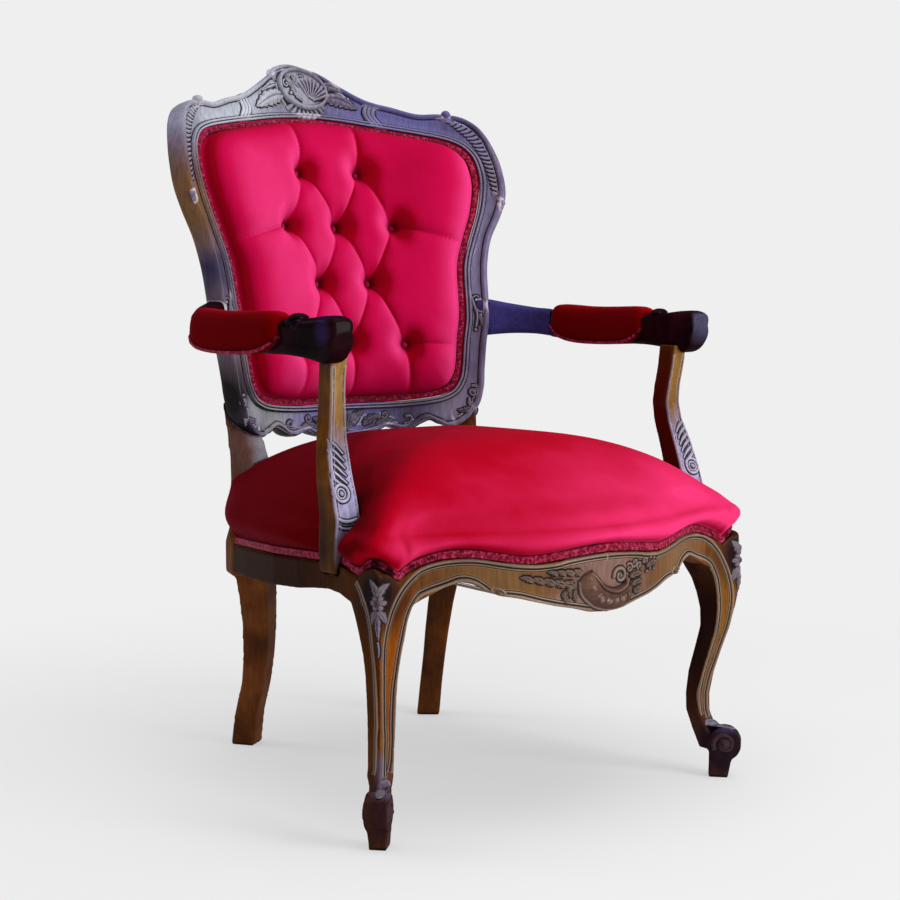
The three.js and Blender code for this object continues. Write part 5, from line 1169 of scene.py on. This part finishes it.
def back_braid(name, share_in, face, turned, node):
    """A braid round the opening, on the front of the back or on its outside."""
    edge = drawn_in(nailed_share, face)
    across = unit(drawn_in(share_in, face) - edge)
    out = unit(np.cross(across, np.roll(edge, -1, 0) - np.roll(edge, 1, 0)))
    if (out[0, 1] > 0) != turned:
        out = -out
    return braid_length(name, edge, across, out, 0.0095, True, [node])


back_braid("back_braid", 0.960, -0.0014, False, "back_gimp")


# The outside of the back: one piece of velvet stretched across the opening between the rebates,
# with its own braid over the nails.
# Painted light on the outside back: faces turned backwards and to the right are painted pinker.
outside_velvet = velvet("velvet_outside", "8a0014", "b4002c", "c81048", lit_way=(0.2, 0.5, 0.1))
outside_face = -0.0228
cloth_thickness = 0.0012
outer_layers = [drawn_in(s, outside_face, 4) for s in np.linspace(0.004, 0.996, 24)]
inner_layers = [drawn_in(s, outside_face + cloth_thickness, 4) for s in np.linspace(0.996, 0.004, 24)]
layers = np.array(outer_layers + inner_layers)
outside = piece("outside_back", layers, skin_faces(*layers.shape[:2], looped=True), outside_velvet)
fasten(outside, "velvet", "outside_back_cover")
back_braid("outside_braid", 0.955, outside_face - 0.0006, True, "outside_back_gimp")


# The arm pads: velvet over a small stuffing on the narrowed top of each arm, half-moon shaped at
# the sides where the cloth is drawn down and braided along its edge.
# Painted light on the arm pads: faces turned up, forward and right are painted lighter red.
arm_velvet = velvet("velvet_arms", "640002", "8c0006", "a80012", lit_way=(0.3, -0.4, 0.3))
arm_pad_line = [(0.3106, 0.0590, 0.6345), (0.3155, 0.0250, 0.6310), (0.3162, -0.0300, 0.6285),
                (0.3143, -0.0890, 0.6290), (0.3097, -0.1485, 0.6310), (0.3072, -0.1663, 0.6325)]
pad_rise, pad_half, pad_side = 0.0275, 0.0222, 0.0250
pad_columns = 25


def arm_pad(side, mirror):
    """The pad of one arm and the braid round its foot."""
    line = flowing(arm_pad_line, 81) + (0, frame_line, 0)
    line[:, 0] *= mirror
    ahead = np.gradient(line, axis=0)
    ahead[:, 2] = 0
    ahead = unit(ahead)
    beside = np.column_stack([-ahead[:, 1], ahead[:, 0], np.zeros(len(line))])
    t = np.linspace(-1, 1, len(line))
    wide = pad_half * np.clip(1 - np.abs(t) ** 12, 0, 1) ** 0.36
    high = pad_rise * (0.45 + 0.55 * np.clip(1 - np.abs(t) ** 9, 0, 1) ** 0.5)
    down = 0.004 + pad_side * np.clip(1 - np.abs(t) ** 4.5, 0, 1) ** 0.6
    rings = []
    turn = np.linspace(np.pi, 0, pad_columns)
    round_x = squarer(np.cos(turn), 0.62)
    round_z = squarer(np.sin(turn), 0.75)
    for i in range(1, len(line) - 1):
        level = -down[i] + (down[i] + high[i]) * round_z
        swell = wide[i] * (1 + 0.05 * np.sin(np.pi * np.clip(round_z, 0, 1)))
        rings.append(line[i] + beside[i] * (round_x * swell)[:, None] + level[:, None] * (0, 0, 1))
    made = piece(f"arm_pad_{side}", rings, skin_faces(len(rings), pad_columns), arm_velvet)
    fasten(made, "velvet", f"arm_pad_cover_{side}", f"arm_pad_foam_{side}")
    near = [ring[0] for ring in rings]
    far = [ring[-1] for ring in rings]
    loop = np.array(near + far[::-1])
    middle = line[len(line) // 2]
    out = loop - middle
    out[:, 2] = 0
    side_way = np.sign((out * beside[len(line) // 2]).sum(1))[:, None] * beside[len(line) // 2]
    ends = np.abs(np.concatenate([t[1:-1], t[1:-1][::-1]]))[:, None]
    way = np.where(ends > 0.93, unit(out), side_way)
    up = np.tile((0.0, 0.0, 1.0), (len(loop), 1))
    braid_length(f"arm_braid_{side}", loop + way * 0.0003, up, way, 0.0045, True, [f"arm_pad_gimp_{side}"])


arm_pad("left", 1)
arm_pad("right", -1)


# Under and inside the seat: beech corner blocks with their screws, jute webbing and hessian under
# the stuffing, and a thin black dust cover tacked inside the rails.
beech = plain("beech", (8, 90, 90), 3.0, 5, (0.3, "a9794a"), (0.7, "c89c6a"), 0.0003, 0.4, roughness=0.65)
steel = plain("screw_steel", (200, 200, 20), 4.0, 2, (0.3, "77797c"), (0.7, "9a9ca0"), 0.0001, 0.3,
              metallic=1.0, roughness=0.38)
black_cloth = plain("dust_cloth", None, 800.0, 2, (0.3, "0c0c0e"), (0.7, "26262a"), 0.0003, 0.5,
                    roughness=0.95, specular_ior_level=0.0)
jute = Finish("jute")
weave = jute.maths(jute.waves(260.0, 1.0, "X"), jute.waves(260.0, 1.0, "Y"), "MULTIPLY")
jute.set(base_color=jute.ramp(weave, [(0.05, "5c4a2c"), (0.5, "a58a5a")]), roughness=0.95,
         normal=jute.bump(weave, 0.0005, 0.7))
for name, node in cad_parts.items():
    if "block_screw" in name:
        finish = steel
    elif "corner_block" in name:
        finish = beech
    elif "strap" in name or "hessian" in name:
        finish = jute.material
    else:
        continue
    node.data.materials.clear()
    node.data.materials.append(finish)

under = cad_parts["dust_cover"].data
cover = bmesh.new()
cover.from_mesh(under)
bmesh.ops.remove_doubles(cover, verts=cover.verts, dist=1e-6)
bmesh.ops.delete(cover, geom=[f for f in cover.faces if f.normal.z > -0.9], context="FACES")
bmesh.ops.triangulate(cover, faces=cover.faces[:])
for step in range(4):
    long_edges = [e for e in cover.edges if e.calc_length() > 0.02]
    bmesh.ops.subdivide_edges(cover, edges=long_edges, cuts=1)
    bmesh.ops.triangulate(cover, faces=cover.faces[:])
span_x = max(abs(v.co.x) for v in cover.verts)
front_y, rear_y = min(v.co.y for v in cover.verts), max(v.co.y for v in cover.verts)
flat_area = sum(f.calc_area() for f in cover.faces)
for v in cover.verts:  # tacked all round, it hangs a little slack in the middle
    along = (v.co.y - front_y) / (rear_y - front_y)
    v.co.z -= 0.0015 * max(1 - (v.co.x / span_x) ** 2, 0) * 4 * along * (1 - along)
bmesh.ops.solidify(cover, geom=cover.faces[:], thickness=-0.0008)
cover_mesh = bpy.data.meshes.new("black_dust_cover")
bmesh.ops.recalc_face_normals(cover, faces=cover.faces[:])
cover.to_mesh(cover_mesh)
cover.free()
cover_mesh.materials.append(black_cloth)
dust = placed("black_dust_cover", cover_mesh)
fasten(dust, "black_cloth", "dust_cover")


# The studio: a pale floor and backdrop, one broad soft light from the front right, faint light
# from elsewhere, and the camera where the photographer stood.
backdrop = "efefef"
floor_finish = Finish("studio_floor")
spread = floor_finish.vectors(floor_finish.place, (0, 0, 0), "DISTANCE")
fading = {"Value": spread, "From Min": 0.2, "From Max": 1.4, "To Min": 0.5}
far_away = floor_finish.add("ShaderNodeMapRange", fading).outputs[0]
rays = floor_finish.add("ShaderNodeLightPath").outputs
seen = floor_finish.maths(rays["Is Camera Ray"], rays["Is Glossy Ray"], "MAXIMUM")
seen = floor_finish.maths(seen, rays["Is Transmission Ray"], "MAXIMUM")
floor_finish.set(base_color=linear("f2f1f0"), roughness=1.0, specular_ior_level=0.0)
glow = floor_finish.add("ShaderNodeEmission", {"Color": linear(backdrop), "Strength": 1.0})
mix = floor_finish.add("ShaderNodeMixShader", {
    0: floor_finish.maths(far_away, seen, "MULTIPLY"), 1: floor_finish.shader.outputs[0], 2: glow.outputs[0]})
floor_finish.put(floor_finish.tree.nodes["Material Output"].inputs["Surface"], mix.outputs[0])
bpy.ops.mesh.primitive_plane_add(size=60, location=(0, 0, 0))
floor = bpy.context.object
floor.name = "studio_floor"
floor.data.materials.append(floor_finish.material)

world = bpy.data.worlds.new("studio")
bpy.context.scene.world = world
world.use_nodes = True
sky = Nodes(world.node_tree)
rays = sky.add("ShaderNodeLightPath").outputs
lit = sky.add("ShaderNodeBackground", {"Color": (0.96, 0.96, 1.0, 1), "Strength": 0.42})
shown = sky.tree.nodes["Background"]
sky.put(shown.inputs["Color"], linear(backdrop))
either = sky.maths(rays["Is Camera Ray"], rays["Is Transmission Ray"], "MAXIMUM")
choice = sky.add("ShaderNodeMixShader", {0: either, 1: lit.outputs[0], 2: shown.outputs[0]})
sky.put(sky.tree.nodes["World Output"].inputs["Surface"], choice.outputs[0])


def softbox(name, place, target, size, power, colour=(1, 1, 1)):
    lamp = bpy.data.lights.new(name, "AREA")
    lamp.shape = "RECTANGLE"
    lamp.size, lamp.size_y = size
    lamp.energy = power
    lamp.color = colour
    made = placed(name, lamp)
    made.location = place
    made.rotation_euler = (Vector(target) - Vector(place)).to_track_quat("-Z", "Y").to_euler()
    return made


softbox("key", (1.3, -2.9, 1.25), (0, 0, 0.6), (1.3, 1.5), 68)
softbox("overhead", (0.2, -0.4, 3.0), (0, 0, 0), (2.4, 2.4), 34)
fill = softbox("fill", (-1.8, 1.9, 1.9), (0, 0, 0.7), (1.0, 1.4), 16, (0.82, 0.84, 1.0))
fill.visible_glossy = False  # it lightens the shaded side without a mirrored patch on the lacquer

lens = bpy.data.cameras.new("camera")
lens.lens = 73.64
lens.sensor_width = 36
camera = placed("camera", lens)
camera.location = (-1.496, frame_line - 2.200, 0.700)
camera.rotation_euler = (math.radians(90 - 5.36), 0, math.radians(-35.37))
bpy.context.scene.camera = camera
bpy.context.scene.view_settings.view_transform = "Standard"
